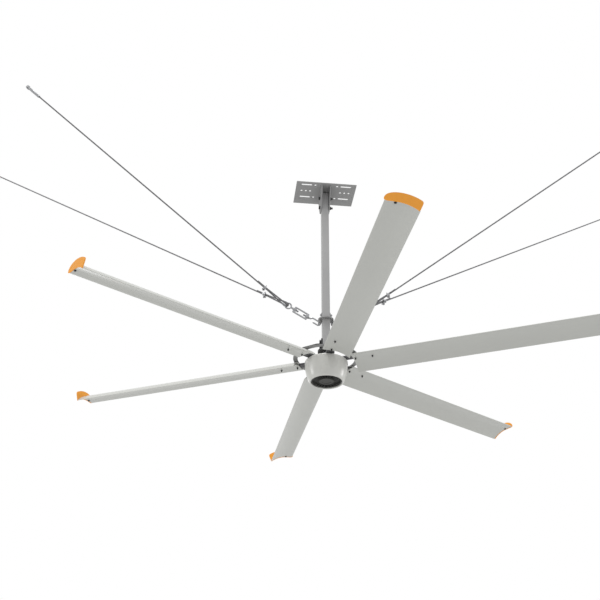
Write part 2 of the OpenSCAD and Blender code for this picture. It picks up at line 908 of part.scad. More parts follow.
module top_cover() {
    color(hub_grey)
        at_blades()
            difference() {
                rotate_extrude()
                    polygon([
                        [up_seat_r - 2 * lip, hub_top],
                        [cover_r, hub_top],
                        [cover_r, top_wall],
                        [up_seat_r + 2 * lip, top_wall],
                        [up_seat_r + 2 * lip, hub_top - lip - up_bear_h],
                        [up_seat_r + seat_fit, hub_top - lip - up_bear_h],
                        [up_seat_r + seat_fit, hub_top - lip],
                        [up_seat_r - 2 * lip, hub_top - lip]]);
                for (i = [1 : blade_count], r = [strut_bolt_r1, strut_bolt_r2])
                    at_blade(i)
                        translate([r, strut_y, top_wall - over])
                            cylinder(h = cover_t + 2 * over, d = strut_bolt_d + 2 * clear);
                for (k = [1 : blade_count])
                    at_blade(k + 0.5)
                        translate([cover_r - small_screw_d, 0, top_wall - over])
                            cylinder(h = cover_t + 2 * over, d = small_screw_d + 2 * clear);
            }
}

// Bottom cover: a black grille with a raised middle and an outer ring
vent_count = 24;
rib_w = 3.2;
middle_r = 54;

// One opening of the grille, between two ribs
module vent() {
    r0 = middle_r + lip;
    r1 = mouth_r - ledge_w - lip;
    w0 = r0 * tan(180 / vent_count) - rib_w / 2;
    w1 = r1 * tan(180 / vent_count) - rib_w / 2;
    translate([0, 0, -cover_z - over])
        linear_extrude(height = bottom_t + 2 * over)
            polygon([[r0, -w0], [r1, -w1], [r1, w1], [r0, w0]]);
}

module bottom_cover() {
    color(black)
        at_blades()
            difference() {
                union() {
                    translate([0, 0, -cover_z])
                        cylinder(h = bottom_t, r = mouth_r - clear);
                    translate([0, 0, -cover_z - lip])
                        cylinder(h = lip + over, r = middle_r);
                    difference() {
                        translate([0, 0, -cover_z - lip / 2])
                            cylinder(h = lip, r = mouth_r - clear);
                        translate([0, 0, -cover_z - lip])
                            cylinder(h = lip, r = mouth_r - ledge_w);
                    }
                }
                translate([0, 0, -cover_z - lip - over])
                    cylinder(h = lip / 2 + over, r = middle_r * 0.7);
                for (k = [0 : vent_count - 1])
                    rotate([0, 0, (k + 0.5) * 360 / vent_count])
                        vent();
                for (k = [0 : cover_screw_count - 1])
                    rotate([0, 0, k * 360 / cover_screw_count])
                        translate([bottom_screw_r, 0, -cover_z - lip])
                            cylinder(h = bottom_t + 2 * lip, d = small_screw_d + 2 * clear);
            }
}

module small_screw(grip) {
    cylinder(h = small_screw_d / 2, r = small_screw_d * 0.8);
    translate([0, 0, -grip])
        cylinder(h = grip + small_screw_d / 4, d = small_screw_d);
}

// Screws of the bottom cover, and of the top cover between the struts
module cover_screws() {
    color(zinc)
        at_blades() {
            for (k = [0 : cover_screw_count - 1])
                rotate([0, 0, k * 360 / cover_screw_count])
                    translate([bottom_screw_r, 0, -cover_z - lip / 2 - clear])
                        mirror([0, 0, 1])
                            small_screw(bottom_t + lip / 2 + clear + small_screw_d);
            for (k = [1 : blade_count])
                at_blade(k + 0.5)
                    translate([cover_r - small_screw_d, 0, hub_top + clear])
                        small_screw(cover_t + 2 * clear + 2 * small_screw_d);
        }
}

// Outer-rotor motor
module back_iron() {
    color(steel)
        at_blades()
            translate([0, 0, -stack_z - mag_h / 2 + clear])
                difference() {
                    cylinder(h = mag_h, r = iron_out);
                    translate([0, 0, -over])
                        cylinder(h = mag_h + 2 * over, r = iron_in + seat_fit);
                }
}

module magnets() {
    color(black)
        at_blades()
            translate([0, 0, -stack_z - mag_h / 2 + clear])
                for (k = [0 : poles - 1])
                    rotate([0, 0, k * 360 / poles])
                        rotate_extrude(angle = 360 / poles - 2)
                            translate([mag_r, 0])
                                square([magnet_t, mag_h]);
}

yoke_ring_r = stator_r * 0.6;
tooth_w = stator_r * 0.09;
shoe_t = stator_r * 0.05;
shoe_gap = 3 * air_gap;
coil_w = 2 * yoke_ring_r * tan(180 / teeth) - 2 * clear;
coil_end = tooth_w;

module stator_core() {
    color(steel)
        at_blades()
            translate([0, 0, -stack_z - stack_h / 2])
                linear_extrude(height = stack_h)
                    difference() {
                        union() {
                            difference() {
                                circle(r = yoke_ring_r);
                                circle(r = shaft_r + seat_fit);
                            }
                            for (k = [0 : teeth - 1])
                                rotate(k * 360 / teeth)
                                    translate([yoke_ring_r - over, -tooth_w / 2])
                                        square([stator_r - shoe_t / 2 - yoke_ring_r + over,
                                            tooth_w]);
                            difference() {
                                circle(r = stator_r);
                                circle(r = stator_r - shoe_t);
                                for (k = [0 : teeth - 1])
                                    rotate((k + 0.5) * 360 / teeth)
                                        translate([0, -shoe_gap / 2])
                                            square([2 * stator_r, shoe_gap]);
                            }
                        }
                        for (k = [0 : 5])
                            rotate(k * 60)
                                translate([(yoke_ring_r + shaft_r) / 2, 0])
                                    circle(r = (yoke_ring_r - shaft_r) / 4);
                    }
}

module stator_windings() {
    coil_far = sqrt(pow(stator_r - shoe_t - 2 * clear, 2) - coil_w * coil_w / 4);
    coil_l = coil_far - yoke_ring_r - 3 * clear;
    color(copper)
        at_blades()
            translate([0, 0, -stack_z])
                for (k = [0 : teeth - 1])
                    rotate([0, 0, k * 360 / teeth])
                        translate([yoke_ring_r + 3 * clear, 0, 0])
                            difference() {
                                translate([0, -coil_w / 2, -stack_h / 2 - coil_end])
                                    cube([coil_l, coil_w, stack_h + 2 * coil_end]);
                                translate([-over, -tooth_w / 2 - clear, -stack_h / 2 - clear])
                                    cube([coil_l + 2 * over, tooth_w + 2 * clear,
                                        stack_h + 2 * clear]);
                            }
}

seal_r = shaft_r + lip;

module motor_shaft() {
    color(steel)
        at_blades()
            rotate_extrude()
                polygon([
                    [shaft_bore_r, yoke_z],
                    [seal_r, yoke_z],
                    [seal_r, hub_top - lip],
                    [shaft_r, hub_top - lip],
                    [shaft_r, -web_z + 2 * low_bear_h],
                    [shaft_low_r, -web_z + 2 * low_bear_h],
                    [shaft_low_r, -web_z + lip],
                    [shaft_low_r - lip, -web_z + lip],
                    [shaft_low_r - lip, -web_z - lip],
                    [shaft_bore_r, -web_z - lip]]);
}

module shaft_nut() {
    color(zinc)
        at_blades()
            translate([0, 0, -web_z - lip + over])
                difference() {
                    cylinder(h = 2 * lip - over - clear, r = low_seat_r - 2 * lip, $fn = 8);
                    translate([0, 0, -over])
                        cylinder(h = 3 * lip, r = shaft_low_r - lip + seat_fit);
                }
}

module shaft_seal() {
    color(black)
        at_blades()
            translate([0, 0, hub_top - lip + clear])
                difference() {
                    cylinder(h = lip - clear, r = up_seat_r - 2 * lip - seat_fit);
                    translate([0, 0, -over])
                        cylinder(h = lip + 2 * over, r = seal_r + clear);
                }
}

// Deep groove ball bearings: [shaft radius, seat radius, height, underside above the blades]
upper_bearing = [shaft_r, up_seat_r, up_bear_h, hub_top - lip - up_bear_h];
lower_bearing = [shaft_low_r, low_seat_r, low_bear_h, -web_z + lip];
function track(b) = (b[0] + b[1]) / 2;
function ball(b) = (b[1] - b[0]) * 0.3;

module bearing_ring(b, r0, r1) {
    translate([0, 0, b[3]])
        rotate_extrude()
            difference() {
                translate([r0, 0])
                    square([r1 - r0, b[2]]);
                translate([track(b), b[2] / 2])
                    circle(r = ball(b) + run_fit);
            }
}

module bearing_inner_rings() {
    color(zinc)
        at_blades()
            for (b = [upper_bearing, lower_bearing])
                bearing_ring(b, b[0] + seat_fit, track(b) - ball(b) / 2);
}

module bearing_outer_rings() {
    color(zinc)
        at_blades()
            for (b = [upper_bearing, lower_bearing])
                bearing_ring(b, track(b) + ball(b) / 2, b[1] - seat_fit);
}

ball_count = 11;

module each_ball(b) {
    for (k = [0 : ball_count - 1])
        rotate([0, 0, k * 360 / ball_count])
            translate([track(b), 0, 0])
                children();
}

module bearing_balls() {
    color(zinc)
        at_blades()
            for (b = [upper_bearing, lower_bearing])
                translate([0, 0, b[3] + b[2] / 2])
                    each_ball(b)
                        sphere(r = ball(b));
}

module bearing_cages() {
    color(steel)
        at_blades()
            for (b = [upper_bearing, lower_bearing])
                translate([0, 0, b[3] + b[2] / 2])
                    difference() {
                        cage_ring(b);
                        each_ball(b)
                            rotate([0, 90, 0])
                                cylinder(h = 2 * ball(b), r = ball(b) + clear, center = true);
                    }
}

module cage_ring(b) {
    translate([0, 0, -ball(b) * 1.2])
        difference() {
            cylinder(h = ball(b) * 2.4, r = track(b) + ball(b) * 0.3);
            translate([0, 0, -over])
                cylinder(h = ball(b) * 2.4 + 2 * over, r = track(b) - ball(b) * 0.3);
        }
}

// Blade section: a parabolic mean line and a four-digit thickness form
section_steps = 18;
form_shares = [0.2969, -0.1260, -0.3516, 0.2843, -0.1015];
function mean_h(x) = 4 * camber * x * (1 - x);
function half_h(x) = 5 * section_t * (form_shares[0] * sqrt(x) + form_shares[1] * x
    + form_shares[2] * x * x + form_shares[3] * pow(x, 3) + form_shares[4] * pow(x, 4))
    + x * trail_t / 2;
function station(i, n) = (1 - cos(180 * i / n)) / 2;
function section_point(s, h) = [
    -lead_offset + s * cos(pitch) + h * sin(pitch),
    le_z - s * sin(pitch) + h * cos(pitch)];
function skin_point(x, side, inset) = section_point(chord * x, mean_h(x) + side * (half_h(x) - inset));

module section() {
    polygon(concat(
        [for (i = [section_steps : -1 : 0])
            skin_point(station(i, section_steps), 1, 0)],
        [for (i = [1 : section_steps])
            skin_point(station(i, section_steps), -1, 0)]));
}

// A hollow of the extrusion between two stations of the chord
module hollow(x0, x1) {
    n = 6;
    polygon(concat(
        [for (i = [n : -1 : 0]) skin_point(x0 + (x1 - x0) * i / n, 1, blade_wall)],
        [for (i = [0 : n]) skin_point(x0 + (x1 - x0) * i / n, -1, blade_wall)]));
}

hollow_shares = [[0.03, 0.172], [0.445, 0.66], [0.68, 0.9]];

module blade(i) {
    color(blade_grey)
        at_blades()
            at_blade(i)
                difference() {
                    radial_extrude(root_r, tip_r - fin_t - root_r)
                        difference() {
                            section();
                            for (h = hollow_shares)
                                hollow(h[0], h[1]);
                            translate([strut_y - strut_w / 2 - clear,
                                strut_z - strut_t / 2 - clear])
                                square([strut_w + 2 * clear, strut_t + 2 * clear]);
                        }
                    for (r = [inner_bolt_r, outer_bolt_r])
                        translate([r, strut_y, -section_t])
                            cylinder(h = 4 * section_t, d = blade_bolt_d + 2 * clear);
                    translate([tip_r - fin_t - tip_screw_in, strut_y, -section_t])
                        cylinder(h = section_t + strut_z, d = tip_screw_d + 2 * clear);
                }
}

module blade_struts() {
    color(steel)
        at_blades()
            for (i = [1 : blade_count])
                at_blade(i)
                    difference() {
                        translate([strut_r0, strut_y - strut_w / 2, strut_z - strut_t / 2])
                            cube([strut_r1 - strut_r0, strut_w, strut_t]);
                        for (r = [inner_bolt_r, outer_bolt_r])
                            translate([r, strut_y, 0])
                                cylinder(h = 2 * strut_z, d = blade_bolt_d + 2 * clear);
                        for (r = [strut_bolt_r1, strut_bolt_r2])
                            translate([r, strut_y, 0])
                                cylinder(h = 2 * strut_z, d = strut_bolt_d + 2 * clear);
                    }
}

// Heights of the blade's skin at the bolts, where the skin lies almost level
bolt_x_top = 0.27;
bolt_x_low = 0.30;
skin_top = skin_point(bolt_x_top, 1, 0)[1];
skin_low = skin_point(bolt_x_low, -1, 0)[1];

// Link plates: curved bars from bolt to bolt with round ends, laid in two levels
link_level = link_t + clear;
link_steps = 20;
end_step = 18;

module link_outline(r, w, sweep_angle) {
    polygon(concat(
        arc(0, 0, r + w / 2, 0, sweep_angle, link_steps),
        arc(r * cos(sweep_angle), r * sin(sweep_angle), w / 2,
            sweep_angle + end_step, sweep_angle + 180 - end_step, 8),
        arc(0, 0, r - w / 2, sweep_angle, 0, link_steps),
        arc(r, 0, w / 2, 180 + end_step, 360 - end_step, 8)));
}

module blade_links() {
    r = norm([inner_bolt_r, strut_y]);
    turn = atan2(strut_y, inner_bolt_r);
    color(steel)
        at_blades()
            for (i = [1 : blade_count])
                at_blade(i)
                    rotate([0, 0, turn])
                        translate([0, 0, skin_top + 2 * clear + (i % 2) * link_level])
                            difference() {
                                linear_extrude(height = link_t)
                                    link_outline(r, link_w, 360 / blade_count);
                                for (k = [0, 1])
                                    rotate([0, 0, k * 360 / blade_count])
                                        translate([r, 0, -over])
                                            cylinder(h = link_t + 2 * over,
                                                d = blade_bolt_d + 2 * clear);
                            }
}

module strut_bolts() {
    color(black)
        at_blades()
            for (i = [1 : blade_count], r = [strut_bolt_r1, strut_bolt_r2])
                at_blade(i)
                    translate([r, strut_y, strut_z + strut_t / 2 + clear])
                        bolt(strut_bolt_d, strut_t + cover_t + 2 * clear);
}

// Blade bolts: heads on top, the inner ones over the links, and nuts under the blade
module blade_bolts() {
    low = skin_low - 3 * clear;
    tail = blade_bolt_d * (nut_h_share + washer_t_share + long_tail_share);
    color(black)
        at_blades()
            for (i = [1 : blade_count], inner = [0, 1])
                at_blade(i)
                    translate([inner > 0 ? inner_bolt_r : outer_bolt_r, strut_y, 0]) {
                        seat = skin_top + 2 * clear + inner * 2 * link_level;
                        translate([0, 0, seat])
                            bolt(blade_bolt_d, seat - low + tail);
                        translate([0, 0, low])
                            mirror([0, 0, 1])
                                nut(blade_bolt_d, face_r_share);
                    }
}

// Winglet: an orange fin that stands on the blade's end, with a plug in the strut slot
crest_shares = [0.62, 0.655, 0.04, 0.35];
end_share = 1.033;
foot_share = 0.99;
fin_edge = 2;
fin_corner = 9;
fin_steps = 16;

// Upper edge: an elliptic arc. Shares of the chord: centre, half width, base and height
function crest(a) = [
    chord * (crest_shares[0] + crest_shares[1] * cos(a)),
    chord * (crest_shares[2] + crest_shares[3] * sin(a))];

module fin_outline() {
    last = acos((end_share - crest_shares[0]) / crest_shares[1]);
    upper = [for (i = [0 : fin_steps]) crest(180 + (last + 7 - 180) * i / fin_steps)];
    heel = crest(last);
    foot = [chord * foot_share, -fin_edge];
    start = upper[fin_steps];
    end = heel + (foot - heel) * 0.3;
    round = [for (t = [0.25, 0.5, 0.75])
        (1 - t) * (1 - t) * start + 2 * t * (1 - t) * heel + t * t * end];
    lower = [for (i = [fin_steps - 1 : -1 : 1])
        [chord * foot_share * i / fin_steps,
         mean_h(foot_share * i / fin_steps) - half_h(foot_share * i / fin_steps) - fin_edge]];
    points = concat(
        upper,
        round,
        [end,
         foot + (heel - foot) * 0.12,
         foot + fin_corner * [-0.35, -0.05]],
        lower,
        [[-fin_corner * 0.5, -fin_edge]]);
    polygon([for (p = points) section_point(p[0], p[1])]);
}

module winglet(i) {
    blade_end = tip_r - fin_t;
    color(fin_orange)
        at_blades()
            at_blade(i)
                difference() {
                    union() {
                        radial_extrude(blade_end, fin_t)
                            fin_outline();
                        translate([blade_end - plug_l, strut_y - strut_w / 2,
                            strut_z - strut_t / 2])
                            cube([plug_l + over, strut_w, strut_t]);
                    }
                    translate([blade_end - tip_screw_in, strut_y, 0])
                        cylinder(h = strut_z + strut_t / 4, d = tip_screw_d + 2 * clear);
                }
}

module tip_screws() {
    color(black)
        at_blades()
            for (i = [1 : blade_count])
                at_blade(i)
                    translate([tip_r - fin_t - tip_screw_in, strut_y, skin_low - 4 * clear])
                        mirror([0, 0, 1])
                            bolt(tip_screw_d, strut_z - skin_low + 4 * clear);
}

// Power cable. Its route, in heights above the blades, follows the photographed bend
cable_route = [
    [-40, 0, 177], [-66, 0, 175.5], [-86, 0, 170], [-106, 0, 163], [-126, 0, 156],
    [-146, 0, 149], [-167, 0, 141.5], [-187, 0, 134], [-207, 0, 126.5], [-226, 0, 120]];
cable_sides = 10;

// Rubber grommet through the yoke's ear and the rod's wall, with a lip on each side
module cable_grommet() {
    wall = ear_out - rod_w / 2 + rod_wall;
    color(black)
        at_blades()
            translate([-ear_out, 0, grommet_z])
                rotate([0, -90, 0])
                    difference() {
                        union() {
                            translate([0, 0, -wall - grommet_lip])
                                cylinder(h = wall + grommet_nose, r = grommet_r);
                            translate([0, 0, -wall - clear - grommet_lip])
                                cylinder(h = grommet_lip, r = grommet_r + grommet_lip);
                            translate([0, 0, clear])
                                cylinder(h = grommet_lip, r = grommet_r + grommet_lip);
                        }
                        translate([0, 0, -rod_w])
                            cylinder(h = 2 * rod_w, d = cable_d + 2 * clear);
                    }
}

module power_cable() {
    color(black)
        at_blades()
            tube(cable_route, cable_d / 2, cable_sides, [0, 1, 0]);
}

connector_grip_share = 0.2;

module cable_connector() {
    last = cable_route[len(cable_route) - 1];
    way = heading(cable_route, len(cable_route) - 1);
    color(black)
        at_blades()
            translate(last - way * connector_l * connector_grip_share)
                rotate([0, atan2(way[0], way[2]), 0])
                    connector();
}

// In-line connector: a tapered grip, a body with a ring and a socket in its end
module connector() {
    difference() {
        union() {
            cylinder(h = connector_l * 0.3, d1 = cable_d * 1.25, d2 = connector_d * 0.85);
            translate([0, 0, connector_l * 0.3 - over])
                cylinder(h = connector_l * 0.7 + over, d = connector_d * 0.85);
            translate([0, 0, connector_l * 0.55])
                cylinder(h = connector_l * 0.2, d = connector_d);
        }
        translate([0, 0, -over])
            cylinder(h = connector_l * connector_grip_share + over, d = cable_d + 2 * clear);
        translate([0, 0, connector_l * 0.8])
            cylinder(h = connector_l, d = connector_d * 0.6);
    }
}

ceiling_plate();
hanger_ears();
rod_bolts();
drop_rod();
guy_collar();
collar_bolt();
collar_hooks();
lock_nuts();
motor_yoke();
motor_shaft();
stator_core();
stator_windings();
bearing_inner_rings();
shaft_nut();
cable_grommet();
power_cable();
cable_connector();
hub_shell();
top_cover();
bottom_cover();
back_iron();
magnets();
bearing_outer_rings();
shaft_seal();
blade_struts();
blade_links();
blade(1);  // blade_1
blade(2);  // blade_2
blade(3);  // blade_3
blade(4);  // blade_4
blade(5);  // blade_5
blade(6);  // blade_6
winglet(1);  // winglet_1
winglet(2);  // winglet_2
winglet(3);  // winglet_3
winglet(4);  // winglet_4
winglet(5);  // winglet_5
winglet(6);  // winglet_6
strut_bolts();
blade_bolts();
tip_screws();
cover_screws();
bearing_balls();
bearing_cages();
buckle_frame(1);  // left_buckle_frame
eye_screw(1);  // left_eye_screw
thimbles(1);  // left_thimbles
wire_clips(1);  // left_wire_clips
guy_wire(1, 1, front_wire_l);  // front_left_wire
guy_wire(1, -1, rear_wire_l);  // rear_left_wire
wire_terminal(1, 1, front_wire_l);  // front_left_terminal
wire_terminal(1, -1, rear_wire_l);  // rear_left_terminal
buckle_frame(0);  // right_buckle_frame
eye_screw(0);  // right_eye_screw
thimbles(0);  // right_thimbles
wire_clips(0);  // right_wire_clips
guy_wire(0, 1, front_wire_l);  // front_right_wire
guy_wire(0, -1, rear_wire_l);  // rear_right_wire
wire_terminal(0, 1, front_wire_l);  // front_right_terminal
wire_terminal(0, -1, rear_wire_l);  // rear_right_terminal
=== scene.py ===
# %% [markdown]
# # A large ceiling fan, dressed for a photograph
#
# The CAD model gives every size and place. This script adds what a camera sees: stranded wire
# rope, a rubber cable, softened edges, weld beads, threads, and the finish of each surface.

# %% Frame
import json
import math

import bmesh
import bpy
import numpy as np
from mathutils import Matrix, Vector


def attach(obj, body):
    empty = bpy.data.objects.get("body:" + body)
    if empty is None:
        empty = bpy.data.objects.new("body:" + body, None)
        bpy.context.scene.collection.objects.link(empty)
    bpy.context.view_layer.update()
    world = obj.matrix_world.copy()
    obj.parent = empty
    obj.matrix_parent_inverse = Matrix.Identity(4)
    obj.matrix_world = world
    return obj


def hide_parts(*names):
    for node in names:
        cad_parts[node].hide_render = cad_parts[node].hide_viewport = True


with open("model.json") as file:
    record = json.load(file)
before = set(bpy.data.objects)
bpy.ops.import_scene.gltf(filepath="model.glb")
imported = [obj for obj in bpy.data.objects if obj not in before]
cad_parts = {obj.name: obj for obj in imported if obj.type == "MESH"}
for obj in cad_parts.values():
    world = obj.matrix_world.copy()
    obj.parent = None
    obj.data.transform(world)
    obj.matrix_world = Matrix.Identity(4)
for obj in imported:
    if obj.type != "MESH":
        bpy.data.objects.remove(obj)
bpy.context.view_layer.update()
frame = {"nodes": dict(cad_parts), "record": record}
BODY_OF = {n: b for b, nodes in frame["record"]["behaviour"]["bodies"].items() for n in nodes}
SLOT_OF = {s["node"]: s["material_slot"] for s in frame["record"]["subparts"]}
MM = 0.001
BLADE_Z = -1.603

# %% [markdown]
# ## Camera
#
# The camera was fitted to the blade tips, the hub's outline, the rod and the plate's corners. It
# stands in front of the fan and a little to the left, about three metres under the blades.

# %% Camera
CAMERA_PLACE = (-0.8382, -6.0800, -4.5445)
CAMERA_YAW = math.radians(5.9674)
CAMERA_PITCH = math.radians(29.7758)
CAMERA_ROLL = math.radians(0.3756)
CAMERA_LENS = 53.906


def add_camera():
    """Puts the camera at its fitted place. Yaw turns from +Y towards +X."""
    data = bpy.data.cameras.new("camera")
    data.lens = CAMERA_LENS
    data.sensor_width = 36
    data.clip_end = 60
    camera = bpy.data.objects.new("camera", data)
    bpy.context.scene.collection.objects.link(camera)
    forward = np.array([math.sin(CAMERA_YAW) * math.cos(CAMERA_PITCH),
                        math.cos(CAMERA_YAW) * math.cos(CAMERA_PITCH),
                        math.sin(CAMERA_PITCH)])
    level = np.array([math.cos(CAMERA_YAW), -math.sin(CAMERA_YAW), 0.0])
    above = np.cross(level, forward)
    right = math.cos(CAMERA_ROLL) * level + math.sin(CAMERA_ROLL) * above
    up = -math.sin(CAMERA_ROLL) * level + math.cos(CAMERA_ROLL) * above
    turn = Matrix(np.column_stack([right, up, -forward]).tolist()).to_4x4()
    camera.matrix_world = Matrix.Translation(CAMERA_PLACE) @ turn
    bpy.context.scene.camera = camera


add_camera()
print("camera at", CAMERA_PLACE, "with a lens of", CAMERA_LENS, "mm")

# %% [markdown]
# ## Helpers for swept meshes
#
# A tube is a grid of rings carried along a route. The rings keep their direction from one point
# to the next, so nothing twists unless a twist is asked for.

# %% Swept meshes
def resample(points, step):
    """Points at equal steps along a polyline, interpolated on its running length."""
    points = np.asarray(points, float)
    runs = np.linalg.norm(np.diff(points, axis=0), axis=1)
    at = np.concatenate([[0.0], np.cumsum(runs)])
    count = max(2, int(round(at[-1] / step)) + 1)
    wanted = np.linspace(0.0, at[-1], count)
    return np.column_stack([np.interp(wanted, at, points[:, k]) for k in range(3)])


def smooth_route(points, steps):
    """A Catmull-Rom curve through the points, with that many steps between two of them."""
    p = np.asarray(points, float)
    p = np.vstack([2 * p[0] - p[1], p, 2 * p[-1] - p[-2]])
    u = np.linspace(0, 1, steps, endpoint=False)[:, None]
    parts = []
    for a, b, c, d in zip(p[:-3], p[1:-2], p[2:-1], p[3:]):
        parts.append(0.5 * (2 * b + (c - a) * u + (2 * a - 5 * b + 4 * c - d) * u**2
                            + (3 * b - a - 3 * c + d) * u**3))
    return np.vstack(parts + [p[-2:-1]])


def carried_frames(points):
    """Heading, side and top of each point, carried along without a twist."""
    heading = np.gradient(points, axis=0)
    heading /= np.linalg.norm(heading, axis=1)[:, None]
    start = np.cross(heading[0], [0.0, 0.0, 1.0])
    if np.linalg.norm(start) < 0.1:
        start = np.cross(heading[0], [0.0, 1.0, 0.0])
    side = np.zeros_like(points)
    side[0] = start / np.linalg.norm(start)
    for i in range(1, len(points)):
        s = side[i - 1] - heading[i] * np.dot(side[i - 1], heading[i])
        side[i] = s / np.linalg.norm(s)
    return heading, side, np.cross(heading, side)


def tube_grid(points, radii, sides, side, top):
    """Rings of vertices round the points: point + r (cos a side + sin a top)."""
    a = np.linspace(0, 2 * math.pi, sides, endpoint=False)
    ring = (np.cos(a)[None, :, None] * side[:, None, :]
            + np.sin(a)[None, :, None] * top[:, None, :])
    return points[:, None, :] + ring * np.asarray(radii, float).reshape(-1, 1, 1)


def grid_faces(rows, sides, first):
    """Quads between the rings, and a face at each end."""
    i, k = np.meshgrid(np.arange(rows - 1), np.arange(sides), indexing="ij")
    a = first + i * sides + k
    b = first + i * sides + (k + 1) % sides
    quads = np.stack([a, b, b + sides, a + sides], axis=-1).reshape(-1, 4)
    start = first + np.arange(sides)[::-1]
    end = first + (rows - 1) * sides + np.arange(sides)
    return quads.tolist() + [start.tolist(), end.tolist()]


def add_piece(name, vertices, faces, smooth=True):
    """A new object at the origin, with its place in its mesh."""
    mesh = bpy.data.meshes.new(name)
    mesh.from_pydata(np.asarray(vertices, float).reshape(-1, 3).tolist(), [], faces)
    mesh.update()
    if smooth:
        mesh.shade_smooth()
    piece = bpy.data.objects.new(name, mesh)
    bpy.context.scene.collection.objects.link(piece)
    return piece


def add_tube(name, points, radii, sides=16):
    """A closed tube along the points."""
    points = np.asarray(points, float)
    radii = np.broadcast_to(radii, len(points))
    _, side, top = carried_frames(points)
    grid = tube_grid(points, radii, sides, side, top)
    return add_piece(name, grid, grid_faces(len(points), sides, 0))


print("a metre in steps of a tenth:", len(resample([[0, 0, 0], [1, 0, 0]], 0.1)), "points")

# %% [markdown]
# ## Power cable
#
# The power cable leaves a grommet in the yoke's left ear, sags over the rotor and ends in an
# in-line connector. It is drawn as a tube, with its real length and thickness.

# %% Power cable
CABLE_D = 0.012
CABLE_ROUTE = [
    (-0.040, 0, 0.177), (-0.066, 0, 0.1755), (-0.086, 0, 0.170), (-0.106, 0, 0.163),
    (-0.126, 0, 0.156), (-0.146, 0, 0.149), (-0.167, 0, 0.1415), (-0.187, 0, 0.134),
    (-0.207, 0, 0.1265), (-0.226, 0, 0.120)]


def run_length(points):
    """Length of a polyline, the sum of its steps."""
    return float(np.linalg.norm(np.diff(np.asarray(points, float), axis=0), axis=1).sum())


def make_cable():
    """The rubber-sheathed cable, a tube along its route."""
    route = np.array(CABLE_ROUTE) + [0, 0, BLADE_Z]
    line = smooth_route(route, 6)
    cable = add_tube("cable_sheath", line, CABLE_D / 2, 20)
    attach(cable, BODY_OF["power_cable"])
    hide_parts("power_cable")
    return cable


cable = make_cable()
print("cable:", cable.name, round(run_length(smooth_route(CABLE_ROUTE, 6)), 4), "m")

# %% [markdown]
# ## Where the wires run
#
# A wire is easiest to draw along its own axis, and a turnbuckle along its own. Two functions
# carry such points to the fan's place: a tilt and a splay first, then the turnbuckle's rise.

# %% Wire and turnbuckle places
WIRE_D = 0.012
WIRE_ELEVATION = math.radians(31.8)
WIRE_SPLAY = math.radians(19.8)
BUCKLE_ELEVATION = math.radians(31.0)
BOWL_PLACE = (0.0600001, 0.0, -1.2465974)
EYE_CENTRE = 0.274
EYE_INNER_R = 0.018
THIMBLE_R = 0.021
THIMBLE_HALF = 0.0075
FIT_GAP = 0.0003
CLIP_AT = 0.205
TAIL_L = 0.075
FRONT_WIRE_L = 2.490
REAR_WIRE_L = 3.380
STRAND_GAP = WIRE_D + 2 * FIT_GAP


def turn_y(angle):
    """Turn about Y, from Z towards X."""
    return np.array([[math.cos(angle), 0, math.sin(angle)], [0, 1, 0],
                     [-math.sin(angle), 0, math.cos(angle)]])


def turn_z(angle):
    """Turn about Z, from X towards Y."""
    return np.array([[math.cos(angle), -math.sin(angle), 0],
                     [math.sin(angle), math.cos(angle), 0], [0, 0, 1]])


def buckle_to_row(points, left):
    """Carries points from a turnbuckle's own frame, with +X along its axis, to the row's."""
    p = np.asarray(points, float) @ turn_y(-BUCKLE_ELEVATION).T + BOWL_PLACE
    return p * ([-1, 1, 1] if left else [1, 1, 1])


def to_row(points, left, front):
    """Carries points from a wire's own frame, with +X from thimble to anchor, to the row's."""
    way = np.array([math.cos(WIRE_ELEVATION) * math.cos(WIRE_SPLAY),
                    math.cos(WIRE_ELEVATION) * math.sin(WIRE_SPLAY), math.sin(WIRE_ELEVATION)])
    along = way[0] * math.cos(BUCKLE_ELEVATION) + way[2] * math.sin(BUCKLE_ELEVATION)
    rise = way[2] * math.cos(BUCKLE_ELEVATION) - way[0] * math.sin(BUCKLE_ELEVATION)
    yaw = math.atan2(way[1], along)
    tilt = math.asin(rise)
    stack = THIMBLE_HALF + FIT_GAP
    reach = EYE_INNER_R - THIMBLE_HALF - 4 * FIT_GAP
    seat = EYE_CENTRE + math.sqrt(reach**2 - stack**2)
    p = np.asarray(points, float) + [THIMBLE_R, 0, 0]
    p = p @ turn_y(-tilt).T @ turn_z(-front * yaw).T + [seat, 0, -front * stack]
    return buckle_to_row(p, left)


print("turnbuckle eyes at", [buckle_to_row([EYE_CENTRE, 0, 0], left).round(4).tolist()
                             for left in (True, False)])

# %% [markdown]
# ## Guy wires
#
# Each guy wire is six strands laid round each other. It runs from the wire clip to its swaged
# terminal, and a second piece makes the loop round the thimble.

# %% Guy wires
STRAND_COUNT = 6
STRAND_SIDES = 6
LAY_LENGTH = 0.066
STEPS_PER_LAY = 14
BEND_POINTS = 15


def loop_route():
    """Centre line from the clip round the thimble and back past the clip."""
    start = CLIP_AT - 2 * WIRE_D
    reach = math.hypot(start, STRAND_GAP / 2)
    lean = math.pi / 2 - math.acos(THIMBLE_R / reach) - math.atan2(STRAND_GAP / 2, start)
    a = np.linspace(math.pi / 2 - lean, 3 * math.pi / 2 + lean, BEND_POINTS)
    bend = np.column_stack([THIMBLE_R * np.cos(a), THIMBLE_R * np.sin(a), 0 * a])
    return np.vstack([[CLIP_AT, STRAND_GAP / 2, 0], [start, STRAND_GAP / 2, 0], bend,
                      [start, -STRAND_GAP / 2, 0], [CLIP_AT + TAIL_L, -STRAND_GAP / 2, 0]])


